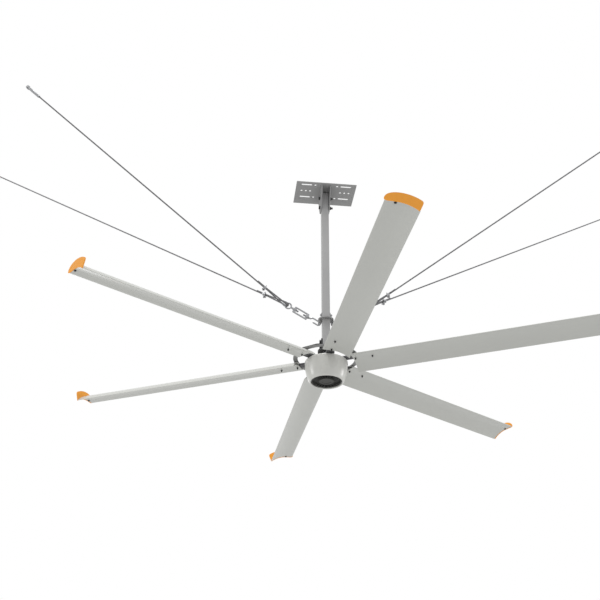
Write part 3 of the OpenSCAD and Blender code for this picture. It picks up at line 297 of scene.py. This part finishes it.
def add_rope(name, route):
    """Six strands laid round a route, as one mesh of six tubes.

    Strand k lies at R (cos a side + sin a top), with a = tau (s / lay + k / 6) at length s.
    """
    line = resample(route, LAY_LENGTH / STEPS_PER_LAY)
    heading, side, top = carried_frames(line)
    step = run_length(line) / (len(line) - 1)
    strand_r = WIRE_D / 6
    vertices, faces = [], []
    for k in range(STRAND_COUNT):
        turn = 2 * math.pi * (np.arange(len(line)) * step / LAY_LENGTH + k / STRAND_COUNT)
        out = np.cos(turn)[:, None] * side + np.sin(turn)[:, None] * top
        centre = line + out * (WIRE_D / 2 - strand_r)
        across = np.cross(heading, out)
        faces += grid_faces(len(line), STRAND_SIDES, len(line) * STRAND_SIDES * k)
        vertices.append(tube_grid(centre, strand_r, STRAND_SIDES, out, across))
    return add_piece(name, np.vstack([v.reshape(-1, 3) for v in vertices]), faces), line


def make_guy_wire(left, front):
    """One guy wire: its straight rope and the loop at its eye."""
    side = "left" if left else "right"
    end = "front" if front > 0 else "rear"
    node = f"{end}_{side}_wire"
    length = FRONT_WIRE_L if front > 0 else REAR_WIRE_L
    run = to_row([[CLIP_AT, STRAND_GAP / 2, 0], [length, STRAND_GAP / 2, 0]], left, front)
    rope, line = add_rope(f"{end}_{side}_rope", run)
    loop, _ = add_rope(f"{end}_{side}_loop", to_row(loop_route(), left, front))
    for piece in (rope, loop):
        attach(piece, BODY_OF[node])
        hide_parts(node)
    return [rope, loop]


ropes = [p for left in (True, False) for front in (1, -1) for p in make_guy_wire(left, front)]
print("ropes:", [r.name for r in ropes])

# %% [markdown]
# ## Hooks and eyes
#
# The turnbuckle's hook and eye are bent from round bar and carry opposite threads: right-handed
# on the hook, left-handed on the eye. Each is a smooth bar with a threaded screw.

# %% Hooks and eyes
BOWL_R = 0.016
BAR_R = 0.006
SCREW_R = 0.007
THREAD_PITCH = 0.002
THREAD_DEPTH = 0.0011
FRAME_START = 0.094
FRAME_L = 0.128
BOSS_L = 0.020
SCREW_IN = 0.022
NECK_BEND = math.radians(60)
SCREW_OUT = 0.022
NECK_FROM = 0.020
NECK_STEP = 0.002
TIP_STEPS = 26
BOWL_STEPS = 40
BEND_STEPS = 12
RETURN_STEPS = 8
BLUNT_STEPS = 6
RING_STEPS = 72
BAR_SIDES = 20
SCREW_SIDES = 24


def arc(centre, radius, start, end, steps):
    """Points in the XZ plane round a centre, with angles in radians."""
    a = np.linspace(start, end, steps)
    return np.column_stack([centre[0] + radius * np.cos(a), 0 * a,
                            centre[1] + radius * np.sin(a)])


def add_screw(name, ends, radius, pitch, depth, hand, sides=SCREW_SIDES):
    """A closed bar between two points with a helical thread cut into it.

    The radius is r - depth g, where g runs from 0 at the crest to 1 in the groove with
    the turn angle / tau - hand s / pitch. The thread fades out over one pitch at each end.
    """
    line = resample(ends, pitch / 8)
    _, side, top = carried_frames(line)
    s = np.arange(len(line)) * run_length(line) / (len(line) - 1)
    turn = np.arange(sides)[None, :] / sides - hand * s[:, None] / pitch
    groove = np.abs((turn % 1.0) * 2 - 1)
    fade = np.clip(np.minimum(s, s[-1] - s) / pitch, 0.0, 1.0)[:, None]
    radii = radius - depth * (groove * fade + (1 - fade) * 0.6)
    a = np.arange(sides) * math.tau / sides
    ring = np.cos(a)[None, :, None] * side[:, None, :] + np.sin(a)[None, :, None] * top[:, None, :]
    grid = line[:, None, :] + ring * radii[:, :, None]
    return add_piece(name, grid, grid_faces(len(line), sides, 0))


def bar_radii(count, blunt):
    """Radii along a bar whose first end is rounded over that many points."""
    k = np.clip(np.arange(count) / blunt, 0.0, 1.0)
    return BAR_R * np.sqrt(np.maximum(0.02, 1 - (1 - k) ** 2))


def make_hook(left):
    """The long hook through the collar's ear, with its right-handed screw."""
    side = "left" if left else "right"
    screw_start = FRAME_START - 2 * SCREW_R
    neck = screw_start - 2 * BOWL_R * math.sin(NECK_BEND)
    tip = np.column_stack([np.linspace(neck * 0.8, 0.001, TIP_STEPS), np.zeros(TIP_STEPS),
                           np.full(TIP_STEPS, -BOWL_R)])
    bend = math.pi / 2 - NECK_BEND
    route = np.vstack([
        tip, arc((0, 0), BOWL_R, 1.5 * math.pi, 0.5 * math.pi, BOWL_STEPS),
        arc((neck, 0), BOWL_R, 0.5 * math.pi, bend, BEND_STEPS),
        arc((screw_start, BOWL_R), BOWL_R, 1.5 * math.pi - NECK_BEND * 0.75, 1.5 * math.pi,
            RETURN_STEPS),
        [[screw_start + SCREW_R, 0, 0]]])
    bar = add_tube(f"{side}_hook_bar", buckle_to_row(route, left),
                   bar_radii(len(route), BLUNT_STEPS), BAR_SIDES)
    ends = [[screw_start, 0, 0], [FRAME_START + BOSS_L + SCREW_IN, 0, 0]]
    screw = add_screw(f"{side}_hook_screw", buckle_to_row(ends, left), SCREW_R, THREAD_PITCH,
                      THREAD_DEPTH, 1)
    return [bar, screw]


def make_eye(left):
    """The eye that holds both thimbles, with its left-handed screw and a plain neck.

    The ring is a torus: (R + r cos b) round the eye's centre by a, and r sin b across it.
    """
    side = "left" if left else "right"
    a = np.linspace(0, math.tau, RING_STEPS, endpoint=False)
    b = np.linspace(0, math.tau, BAR_SIDES, endpoint=False)
    reach = EYE_INNER_R + BAR_R + BAR_R * np.cos(b)[None, :]
    ring = np.stack([EYE_CENTRE + reach * np.cos(a)[:, None],
                     np.broadcast_to(BAR_R * np.sin(b)[None, :], (RING_STEPS, BAR_SIDES)),
                     reach * np.sin(a)[:, None]], axis=-1)
    i, k = np.meshgrid(np.arange(RING_STEPS), np.arange(BAR_SIDES), indexing="ij")
    here, next_row, next_k = i * BAR_SIDES, (i + 1) % RING_STEPS * BAR_SIDES, (k + 1) % BAR_SIDES
    quads = np.stack([here + k, here + next_k, next_row + next_k, next_row + k],
                     axis=-1).reshape(-1, 4)
    if left:
        quads = quads[:, ::-1]
    eye = add_piece(f"{side}_eye_ring", buckle_to_row(ring.reshape(-1, 3), left), quads.tolist())
    end = FRAME_START + FRAME_L
    neck = EYE_CENTRE - EYE_INNER_R - BAR_R / 2
    screw = add_screw(f"{side}_eye_screw_bar", buckle_to_row(
        [[end - BOSS_L - SCREW_IN, 0, 0], [end + SCREW_OUT, 0, 0]], left), SCREW_R, THREAD_PITCH,
        THREAD_DEPTH, -1)
    shank = add_tube(f"{side}_eye_neck", buckle_to_row(
        resample([[end + NECK_FROM, 0, 0], [neck, 0, 0]], NECK_STEP), left), SCREW_R - FIT_GAP,
        SCREW_SIDES)
    return [eye, screw, shank]


FORGED = {}
for left in (True, False):
    side = "left" if left else "right"
    FORGED[f"{side}_hook"] = ("collar_hooks", make_hook(left))
    FORGED[f"{side}_eye"] = (f"{side}_eye_screw", make_eye(left))
for node, pieces in FORGED.values():
    for piece in pieces:
        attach(piece, BODY_OF[node])
        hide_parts(node)
print("hooks and eyes:", [p.name for _, pieces in FORGED.values() for p in pieces])

# %% [markdown]
# ## Welds
#
# Fillet welds join the hanger's ears to the plate, the yoke's ears to its flange and the collar's
# ears and tabs to its disc. The beads show the ripples of the torch.

# %% Welds
EAR_FACES = (0.0303, 0.0383)
PLATE_T = 0.005
EAR_TOP_W = 0.250
YOKE_TOP = 0.123
YOKE_W = 0.062
COLLAR_Z = 0.386
COLLAR_T = 0.008
COLLAR_R = 0.061
COLLAR_WELD_R = 0.0022
BEAD_SIDES = 10
BEAD_STEP = 0.0006
RIPPLE_LENGTH = 0.0042


def add_bead(name, ends, radius, node):
    """A painted weld bead with ripples, along a straight corner.

    Its radius is r times 1 + 0.07 sin(tau s / ripple), and it tapers at both ends.
    """
    line = resample(ends, BEAD_STEP)
    s = np.arange(len(line)) * BEAD_STEP
    taper = np.sqrt(np.clip(np.minimum(s, s[-1] - s) / radius, 0.04, 1.0))
    ripple = 1 + 0.07 * np.sin(s * math.tau / RIPPLE_LENGTH)
    bead = add_tube(name, line, radius * taper * ripple, BEAD_SIDES)
    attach(bead, BODY_OF[node])
    bead["paint_of"] = node
    return bead


def add_welds():
    """The beads of both sides, each on the corner that it joins."""
    beads = []
    half = EAR_TOP_W / 2 - 0.003
    for k, s in enumerate((-1, 1)):
        x = s * EAR_FACES[1]
        beads.append(add_bead(f"ear_weld_{k}", [[x, -half, -PLATE_T], [x, half, -PLATE_T]],
                              0.0032, "hanger_ears"))
        for j, y in enumerate((-1, 1)):
            beads.append(add_bead(
                f"ear_inner_weld_{k}_{j}", [[s * EAR_FACES[0], y * 0.036, -PLATE_T],
                                            [s * EAR_FACES[0], y * half, -PLATE_T]],
                0.0028, "hanger_ears"))
        z = BLADE_Z + YOKE_TOP
        beads.append(add_bead(f"yoke_weld_{k}", [[x, -YOKE_W / 2 + 0.001, z],
                                                 [x, YOKE_W / 2 - 0.001, z]], 0.003, "motor_yoke"))
        z = BLADE_Z + COLLAR_Z
        tab = s * (EAR_FACES[0] + COLLAR_T * 0.6)
        beads.append(add_bead(f"tab_weld_{k}", [[tab, -0.019, z + COLLAR_T],
                                                [tab, 0.019, z + COLLAR_T]],
                              COLLAR_WELD_R, "guy_collar"))
        ear = s * (COLLAR_R - COLLAR_T)
        beads.append(add_bead(f"hook_ear_weld_{k}", [[ear, -0.021, z], [ear, 0.021, z]],
                              COLLAR_WELD_R, "guy_collar"))
    return beads


beads = add_welds()
print("welds:", len(beads))

# %% [markdown]
# ## Bolt threads
#
# The free end of each rod bolt carries a thread, from inside its nut to the bolt's end.

# %% Bolt threads
BOLT_R = 0.008
BOLT_HEIGHTS = (0.155, 0.199, 1.455, 1.551)
NUT_H_SHARE = 0.94
TAIL_SHARE = 0.8
BOLT_THREAD_DEPTH = 0.0008


def add_bolt_threads():
    """A threaded sleeve on the tail of each rod bolt."""
    screws = []
    for k, z in enumerate(BOLT_HEIGHTS):
        nut_end = EAR_FACES[1] + FIT_GAP + 2 * BOLT_R * NUT_H_SHARE
        tail = nut_end + 2 * BOLT_R * TAIL_SHARE
        screw = add_screw(f"rod_bolt_thread_{k}", [[nut_end - 0.002, 0, BLADE_Z + z],
                                                   [tail + 0.0002, 0, BLADE_Z + z]],
                          BOLT_R + FIT_GAP, THREAD_PITCH, BOLT_THREAD_DEPTH, 1)
        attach(screw, BODY_OF["rod_bolts"])
        screws.append(screw)
    return screws


bolt_threads = add_bolt_threads()
print("bolt threads:", len(bolt_threads))

# %% [markdown]
# ## How a finish is built
#
# Every finish is built from nodes on Object coordinates: a slow noise for dust and uneven paint,
# a fine one for grain, and a bump from the fine one where the finish has any relief.

# %% Material helpers
def srgb(r, g, b):
    """Linear colour of a colour given as it looks on a screen, from 0 to 255."""
    c = np.array([r, g, b]) / 255
    return tuple(np.where(c <= 0.04045, c / 12.92, ((c + 0.055) / 1.055) ** 2.4)) + (1.0,)


def set_inputs(node, values):
    """Sets the sockets of a node by name."""
    for key, value in values.items():
        node.inputs[key].default_value = value


def add_noise(tree, coords, scale, detail, stretch, turn):
    """A noise on Object coordinates, turned about Z and then stretched."""
    mapping = tree.nodes.new("ShaderNodeMapping")
    mapping.vector_type = "TEXTURE"
    set_inputs(mapping, {"Rotation": (0, 0, turn), "Scale": stretch})
    tree.links.new(coords.outputs["Object"], mapping.inputs["Vector"])
    noise = tree.nodes.new("ShaderNodeTexNoise")
    set_inputs(noise, {"Scale": scale, "Detail": detail, "Roughness": 0.55})
    tree.links.new(mapping.outputs["Vector"], noise.inputs["Vector"])
    return noise.outputs["Fac"]


def add_range(tree, value, low, high, start=0.3, end=0.7):
    """Maps a noise onto a range."""
    node = tree.nodes.new("ShaderNodeMapRange")
    set_inputs(node, {"From Min": start, "From Max": end, "To Min": low, "To Max": high})
    tree.links.new(value, node.inputs["Value"])
    return node.outputs["Result"]


def add_material(name, colour, roughness, metallic=0.0, spread=0.05, slow=3.0, fine=900.0,
                 bump=0.02, coat=0.0, stretch=(1, 1, 1), turn=0.0, uneven=0.08):
    """A finish with uneven colour, uneven gloss and a fine grain."""
    material = bpy.data.materials.new(name)
    material.use_nodes = True
    tree = material.node_tree
    shader = tree.nodes["Principled BSDF"]
    coords = tree.nodes.new("ShaderNodeTexCoord")
    dust = add_noise(tree, coords, slow, 5.0, (1, 1, 1), turn)
    grain = add_noise(tree, coords, fine, 3.0, stretch, turn)
    mix = tree.nodes.new("ShaderNodeMix")
    mix.data_type = "RGBA"
    darker = tuple(v * (1 - spread) for v in colour[:3]) + (1.0,)
    lighter = tuple(min(1.0, v * (1 + spread)) for v in colour[:3]) + (1.0,)
    mix.inputs[6].default_value = darker
    mix.inputs[7].default_value = lighter
    both = tree.nodes.new("ShaderNodeMath")
    both.operation = "MULTIPLY_ADD"
    both.inputs[1].default_value = 0.35
    tree.links.new(add_range(tree, grain, 0.0, 1.0), both.inputs[0])
    tree.links.new(add_range(tree, dust, 0.0, 0.65), both.inputs[2])
    tree.links.new(both.outputs[0], mix.inputs[0])
    tree.links.new(mix.outputs[2], shader.inputs["Base Color"])
    rough = add_range(tree, dust, max(0.02, roughness - uneven), min(1.0, roughness + uneven))
    tree.links.new(rough, shader.inputs["Roughness"])
    if bump:
        relief = tree.nodes.new("ShaderNodeBump")
        set_inputs(relief, {"Strength": min(1.0, bump * 10), "Distance": bump * MM})
        tree.links.new(grain, relief.inputs["Height"])
        tree.links.new(relief.outputs["Normal"], shader.inputs["Normal"])
    set_inputs(shader, {"Metallic": metallic, "Coat Weight": coat, "Coat Roughness": 0.25})
    return material


def paint_shade_inside(material, radius, low, high, colour):
    """Paints shade into a round space: one inside the radius and between two heights."""
    tree = material.node_tree
    coords = tree.nodes.new("ShaderNodeTexCoord")
    parts = tree.nodes.new("ShaderNodeSeparateXYZ")
    tree.links.new(coords.outputs["Object"], parts.inputs["Vector"])

    def step(value, operation, limit):
        """A node that compares a value with a limit."""
        node = tree.nodes.new("ShaderNodeMath")
        node.operation = operation
        node.inputs[1].default_value = limit
        tree.links.new(value, node.inputs[0])
        return node.outputs[0]

    def join(a, b, operation):
        """A node that joins two values."""
        node = tree.nodes.new("ShaderNodeMath")
        node.operation = operation
        tree.links.new(a, node.inputs[0])
        tree.links.new(b, node.inputs[1])
        return node.outputs[0]

    x, y, z = (parts.outputs[k] for k in "XYZ")
    reach = join(join(x, x, "MULTIPLY"), join(y, y, "MULTIPLY"), "ADD")
    band = join(step(z, "GREATER_THAN", low), step(z, "LESS_THAN", high), "MULTIPLY")
    inside = join(step(reach, "LESS_THAN", radius**2), band, "MULTIPLY")
    shader = tree.nodes["Principled BSDF"]
    paint = shader.inputs["Base Color"].links[0].from_socket
    mix = tree.nodes.new("ShaderNodeMix")
    mix.data_type = "RGBA"
    mix.inputs[7].default_value = colour
    tree.links.new(inside, mix.inputs[0])
    tree.links.new(paint, mix.inputs[6])
    tree.links.new(mix.outputs[2], shader.inputs["Base Color"])


print("mid grey 128 in linear light:", round(float(srgb(128, 128, 128)[0]), 4))

# %% [markdown]
# ## The finishes
#
# The colours were set so that the lit surfaces come close to those of the photograph.
# Extruded alloy has its noise drawn out along the blade, as a die leaves it, so each blade has a
# finish turned its own way. The hub's mouth gets painted shade: a dark colour inside it.

# %% Finishes
FIRST_AZIMUTH = math.radians(-86.8)
BLADE_COUNT = 6
MATERIALS = {
    "plate_paint": add_material("plate_paint", srgb(150, 150, 150), 0.5, fine=500, bump=0.01),
    "link_steel": add_material("link_steel", srgb(150, 150, 150), 0.5, spread=0.08, fine=500),
    "rod_paint": add_material("rod_paint", srgb(172, 172, 172), 0.45, fine=500, bump=0.01),
    "black_paint": add_material("black_paint", srgb(40, 40, 41), 0.45, spread=0.15, coat=0.1),
    "hub_paint": add_material("hub_paint", srgb(210, 210, 205), 0.3, spread=0.03, fine=650,
                              bump=0.004, coat=0.3),
    "dark_steel": add_material("dark_steel", srgb(84, 84, 86), 0.5, 0.5, spread=0.15),
    "zinc_steel": add_material("zinc_steel", srgb(165, 166, 168), 0.38, 0.85, spread=0.12,
                               slow=40),
    "shaft_steel": add_material("shaft_steel", srgb(150, 150, 152), 0.25, 1.0),
    "winglet_orange": add_material("winglet_orange", srgb(252, 170, 66), 0.5, spread=0.04,
                                   slow=8, fine=1400, bump=0.008),
    "cap_black": add_material("cap_black", srgb(58, 58, 54), 0.55, spread=0.15, fine=800),
    "cable_rubber": add_material("cable_rubber", srgb(66, 66, 64), 0.75, spread=0.12, fine=1500),
    "wire_steel": add_material("wire_steel", srgb(134, 134, 136), 0.5, 0.4, spread=0.12,
                               slow=60),
    "magnet_ferrite": add_material("magnet_ferrite", srgb(48, 48, 50), 0.5, 0.4),
    "lamination_steel": add_material("lamination_steel", srgb(112, 106, 100), 0.5, 0.6,
                                     fine=40, stretch=(20, 20, 0.02)),
    "coil_copper": add_material("coil_copper", srgb(184, 112, 62), 0.35, 0.8, spread=0.2),
}
MOUTH_R = 0.1185
MOUTH_LOW = BLADE_Z - 0.1275
# Painted shade: a dark colour inside the hub's mouth stands in for the shade in its recess.
paint_shade_inside(MATERIALS["hub_paint"], MOUTH_R, MOUTH_LOW, BLADE_Z, srgb(44, 44, 43))
for i in range(1, BLADE_COUNT + 1):
    MATERIALS[f"blade_{i}"] = add_material(
        f"blade_alloy_{i}", srgb(195, 196, 191), 0.3, 0.0, spread=0.015, slow=2.0,
        fine=450, bump=0.0, uneven=0.03, stretch=(40, 1, 1),
        turn=FIRST_AZIMUTH + (i - 1) * math.tau / BLADE_COUNT)
set_inputs(MATERIALS["winglet_orange"].node_tree.nodes["Principled BSDF"],
           {"Specular IOR Level": 0.2})
print("materials:", len(MATERIALS))

# %% [markdown]
# ## CAD pieces with softened edges
#
# A copy of each outer node is merged into one skin, its flat faces are made whole, and a small
# bevel catches the light along its edges. The copy stands for the node. Pieces that nobody sees
# inside the hub keep their CAD mesh and only get a material.

# %% Softened copies
INNER_NODES = ["motor_shaft", "stator_core", "stator_windings", "bearing_inner_rings",
               "shaft_nut", "back_iron", "magnets", "bearing_outer_rings", "bearing_balls",
               "bearing_cages"]
CORD_NODES = ["power_cable"] + [f"{e}_{s}_wire" for e in ("front", "rear")
                                for s in ("left", "right")]
BEVELS_MM = {"ceiling_plate": 0.8, "hanger_ears": 0.8, "drop_rod": 0.6, "hub_shell": 1.0,
             "motor_yoke": 1.0, "blade_struts": 1.2, "blade_links": 0.6}
SMALL_BEVEL_MM = 0.3
MERGE_DISTANCE = 2e-6
FLAT_ANGLE = math.radians(0.4)
SHARP_ANGLE = math.radians(28)
BEVEL_ANGLE = math.radians(40)


def material_of(node):
    """The finish of a node: its own, or that of its material slot."""
    return MATERIALS.get(node) or MATERIALS[SLOT_OF[node]]


def merged_copy(node):
    """A copy of a node's mesh as one skin, with coplanar triangles joined."""
    mesh = frame["nodes"][node].data.copy()
    skin = bmesh.new()
    skin.from_mesh(mesh)
    bmesh.ops.remove_doubles(skin, verts=skin.verts, dist=MERGE_DISTANCE)
    bmesh.ops.dissolve_limit(skin, angle_limit=FLAT_ANGLE, verts=skin.verts, edges=skin.edges)
    skin.to_mesh(mesh)
    skin.free()
    mesh.name = f"{node}_skin"
    mesh.shade_smooth()
    mesh.set_sharp_from_angle(angle=SHARP_ANGLE)
    return mesh


def dress(node):
    """The bevelled copy that stands for a CAD node."""
    piece = bpy.data.objects.new(f"{node}_skin", merged_copy(node))
    bpy.context.scene.collection.objects.link(piece)
    bevel = piece.modifiers.new("edges", "BEVEL")
    bevel.width = BEVELS_MM.get(node, SMALL_BEVEL_MM) * MM
    bevel.segments = 2
    bevel.limit_method = "ANGLE"
    bevel.angle_limit = BEVEL_ANGLE
    bevel.use_clamp_overlap = True
    piece.data.materials.clear()
    piece.data.materials.append(material_of(node))
    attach(piece, BODY_OF[node])
    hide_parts(node)
    return piece


print("kept as CAD meshes inside the hub:", len(INNER_NODES))

# %% [markdown]
# ## Dressing every node
#
# Each node gets its softened copy or its finish. Those that a new piece already stands for are
# passed over, and the new pieces get their finish after that.

# %% Dressed pieces
FORGED_NODES = {node for node, _ in FORGED.values()}
for node, source in frame["nodes"].items():
    if node in CORD_NODES or node in FORGED_NODES:
        continue
    if node in INNER_NODES or node == "cable_connector" or node.endswith("_terminal"):
        source.data.materials.clear()
        source.data.materials.append(material_of(node))
    else:
        dress(node)
cable.data.materials.append(MATERIALS["cable_rubber"])
for rope in ropes:
    rope.data.materials.append(MATERIALS["wire_steel"])
for _, pieces in FORGED.values():
    for piece in pieces:
        piece.data.materials.append(MATERIALS["zinc_steel"])
for bead in beads:
    bead.data.materials.append(material_of(bead["paint_of"]))
for screw in bolt_threads:
    screw.data.materials.append(MATERIALS["black_paint"])

# %% [markdown]
# ## Light
#
# The photograph has the soft, even light of a cut-out picture on white. A pale floor far below
# the fan sends light up to the blades. A lamp overhead brightens the blades' rounded edges, one
# on each side brightens the flanks of the hub, and one behind the fan shows as a sheen on the
# blades that point to the left.

# %% Light and floor
AMBIENT = 0.635
MIRRORED = 0.9
FAN_MIDDLE = (0, 0, -1.6)


def add_world():
    """White for the camera, and two softer whites for reflections and as light."""
    world = bpy.data.worlds.new("studio")
    bpy.context.scene.world = world
    world.use_nodes = True
    tree = world.node_tree
    tree.nodes.clear()
    path = tree.nodes.new("ShaderNodeLightPath")
    seen = tree.nodes.new("ShaderNodeBackground")
    set_inputs(seen, {"Color": (1, 1, 1, 1), "Strength": 1.0})
    light = tree.nodes.new("ShaderNodeBackground")
    set_inputs(light, {"Color": (1, 1, 1, 1), "Strength": AMBIENT})
    mirrored = tree.nodes.new("ShaderNodeBackground")
    set_inputs(mirrored, {"Color": (1, 1, 1, 1), "Strength": MIRRORED})
    out = tree.nodes.new("ShaderNodeOutputWorld")
    both = tree.nodes.new("ShaderNodeMixShader")
    tree.links.new(path.outputs["Is Glossy Ray"], both.inputs["Fac"])
    tree.links.new(light.outputs["Background"], both.inputs[1])
    tree.links.new(mirrored.outputs["Background"], both.inputs[2])
    mix = tree.nodes.new("ShaderNodeMixShader")
    tree.links.new(path.outputs["Is Camera Ray"], mix.inputs["Fac"])
    tree.links.new(both.outputs["Shader"], mix.inputs[1])
    tree.links.new(seen.outputs["Background"], mix.inputs[2])
    tree.links.new(mix.outputs["Shader"], out.inputs["Surface"])


def add_lamp(name, place, target, size, power):
    """A square area lamp that faces a target."""
    data = bpy.data.lights.new(name, "AREA")
    data.shape = "SQUARE"
    data.size = size
    data.energy = power
    lamp = bpy.data.objects.new(name, data)
    lamp.visible_camera = False
    bpy.context.scene.collection.objects.link(lamp)
    away = Vector(place) - Vector(target)
    turn = away.to_track_quat("Z", "Y").to_matrix().to_4x4()
    lamp.matrix_world = Matrix.Translation(place) @ turn


def add_floor():
    """A wide pale floor, out of the picture, that lights the blades from below."""
    half, depth = 9.0, -6.2
    floor = add_piece("floor", [(-half, -half, depth), (half, -half, depth), (half, half, depth),
                                (-half, half, depth)], [[0, 1, 2, 3]], smooth=False)
    floor.data.materials.append(add_material("floor_white", srgb(235, 235, 235), 0.8))


add_world()
add_lamp("back_lamp", (-7.8, 16.5, -1.6), (-1.0, 0, -1.6), 5.0, 150)
add_lamp("top_lamp", (-2.0, -2.5, 7.0), FAN_MIDDLE, 4.0, 480)
add_lamp("left_lamp", (-12.0, 1.0, -1.2), FAN_MIDDLE, 3.0, 170)
add_lamp("right_lamp", (12.0, 1.0, -1.2), FAN_MIDDLE, 3.0, 220)
add_floor()
bpy.context.scene.view_settings.view_transform = "Standard"
